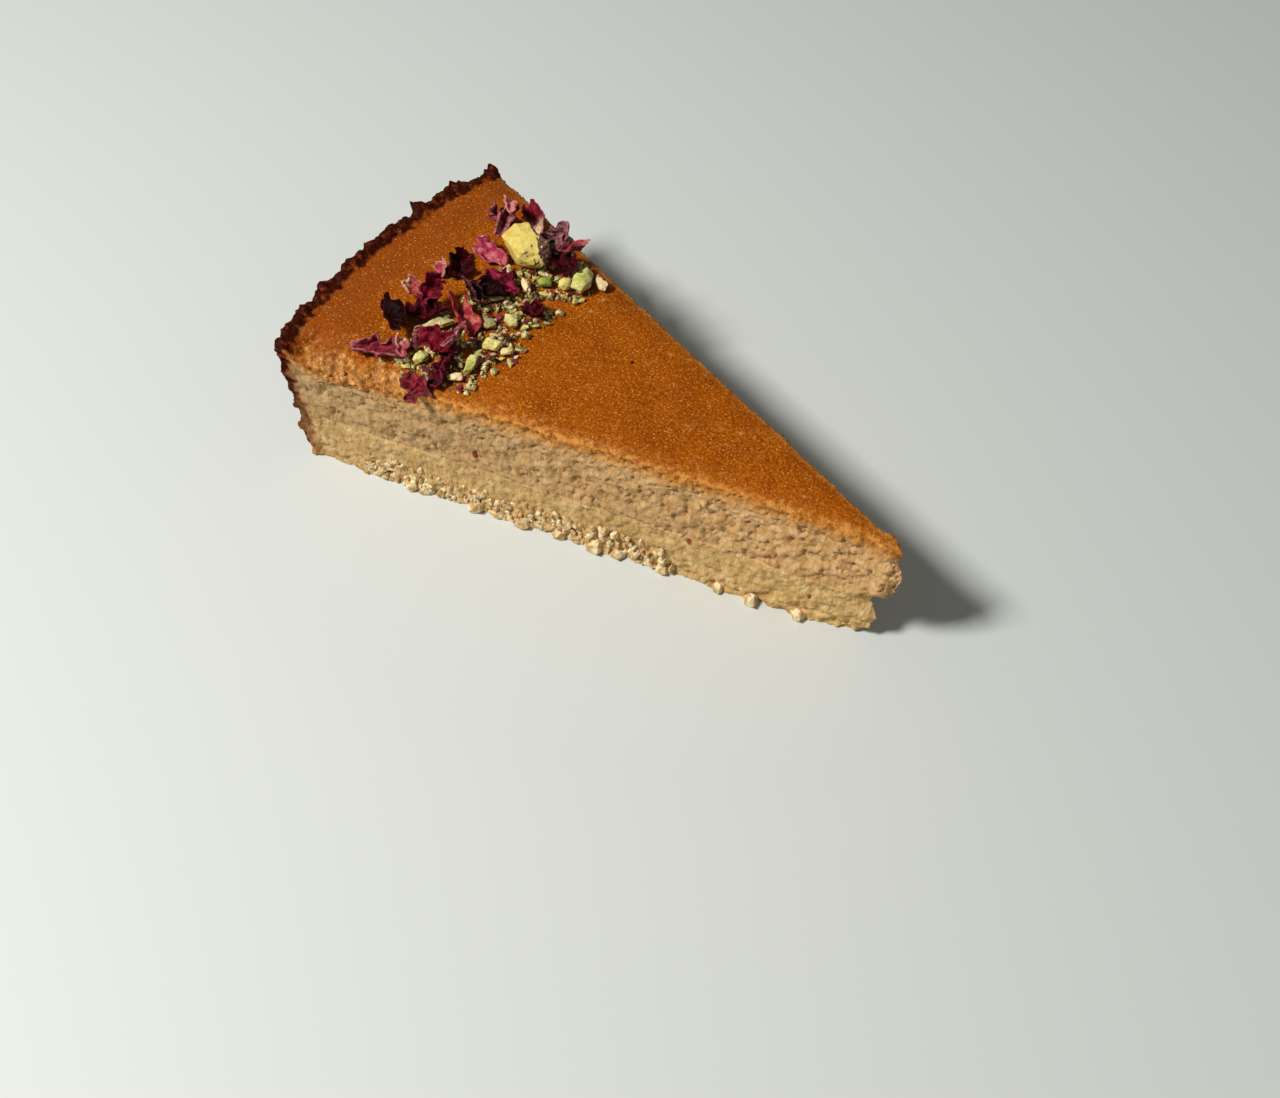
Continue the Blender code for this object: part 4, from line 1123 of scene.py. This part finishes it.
def foot_crumbs():
    """The pale granules against the foot of the cut faces, as one piece."""
    bm = bmesh.new()
    for index, (side, from_rim, shape, out, height) in enumerate(foot_places()):
        along = RADIUS - from_rim
        sign = -1 if side == "near" else 1
        x = TIP_X - along * math.cos(HALF_ANGLE) + out * math.sin(HALF_ANGLE)
        y = sign * (along * math.sin(HALF_ANGLE) + out * math.cos(HALF_ANGLE))
        matrix = Matrix.Translation((x, y, height))
        points, faces = chunk(random.Random(index), FOOT_CRUMB_CORNERS, shape, matrix)
        corners = [bm.verts.new((point.x, point.y, max(point.z, 0))) for point in points]
        for face in faces:
            bm.faces.new([corners[i] for i in face])
    piece = object_from("foot_granules", bm)
    piece.data.materials.append(crumb_material("granules", BASE_BEIGE, GRANULE, BASE_DARK))
    finish_piece(piece, "base")


def crumb_material(name, plain, pale, dark):
    """One plain tone for each crumb, from a noise broader than a crumb."""
    material, tree, shader, place = new_material(name)
    tone = noise_at(tree, place, *BIT_TONE)
    fine = noise_at(tree, place, *BIT_FINE)
    colour = mix(tree, ramp(tree, tone, *BIT_TONES), plain, pale)
    colour = mix(tree, ramp(tree, fine, *BIT_DARK), colour, dark)
    tree.links.new(colour, shader.inputs["Base Color"])
    shader.inputs["Roughness"].default_value = BIT_ROUGHNESS
    set_bump(tree, shader, fine, *BIT_BUMP)
    return material


def make_toppings():
    """Petals, nuts and all the crumbs between them and at the foot."""
    for node_name, look in PETAL_LOOKS.items():
        make_petal(node_name, look)
    for node_name, look in NUT_LOOKS.items():
        make_nut(node_name, look)
    grounds = [tree_of([bpy.data.objects["cake_crumb"].data])]
    taken = [tree_of([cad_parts[name].data for name in (*PETAL_LOOKS, *NUT_LOOKS)])]
    for name, kind in CRUMBS.items():
        top_crumbs(name, kind, grounds, taken)
    foot_crumbs()


# Camera, light and floor

def make_stage():
    """A plain floor, an even sky and one soft light."""
    bpy.ops.mesh.primitive_plane_add(size=FLOOR_SIZE)
    floor = bpy.context.object
    floor.name = "floor"
    material, _, shader, _ = new_material("floor")
    shader.inputs["Base Color"].default_value = FLOOR_COLOUR
    shader.inputs["Roughness"].default_value = FLOOR_ROUGHNESS
    floor.data.materials.append(material)
    world = bpy.data.worlds.new("studio")
    world.use_nodes = True
    background = world.node_tree.nodes["Background"]
    background.inputs["Color"].default_value = SKY_COLOUR
    background.inputs["Strength"].default_value = SKY_STRENGTH
    bpy.context.scene.world = world
    make_light()
    bpy.context.scene.view_settings.view_transform = "Standard"


def make_light():
    """A square soft light that shines on the slice."""
    data = bpy.data.lights.new("key", "AREA")
    data.size = LIGHT_SIZE
    data.energy = LIGHT_POWER
    data.color = LIGHT_COLOUR
    light = bpy.data.objects.new("key", data)
    bpy.context.scene.collection.objects.link(light)
    direction = Vector(LIGHT_DIRECTION)
    light.location = direction.normalized() * LIGHT_DISTANCE
    light.rotation_euler = direction.to_track_quat("Z", "Y").to_euler()


def make_camera():
    """The camera at the photo's viewing angle."""
    data = bpy.data.cameras.new("camera")
    data.lens = CAMERA_LENS
    data.sensor_width = CAMERA_SENSOR
    data.clip_start = CAMERA_NEAR
    camera = bpy.data.objects.new("camera", data)
    bpy.context.scene.collection.objects.link(camera)
    camera.location = CAMERA_PLACE
    turn = Vector(CAMERA_FORWARD).to_track_quat("-Z", "Y")
    camera.rotation_euler = (turn @ Quaternion((0, 0, 1), CAMERA_ROLL)).to_euler()
    bpy.context.scene.camera = camera


make_camera()
make_stage()
make_cake()
make_toppings()
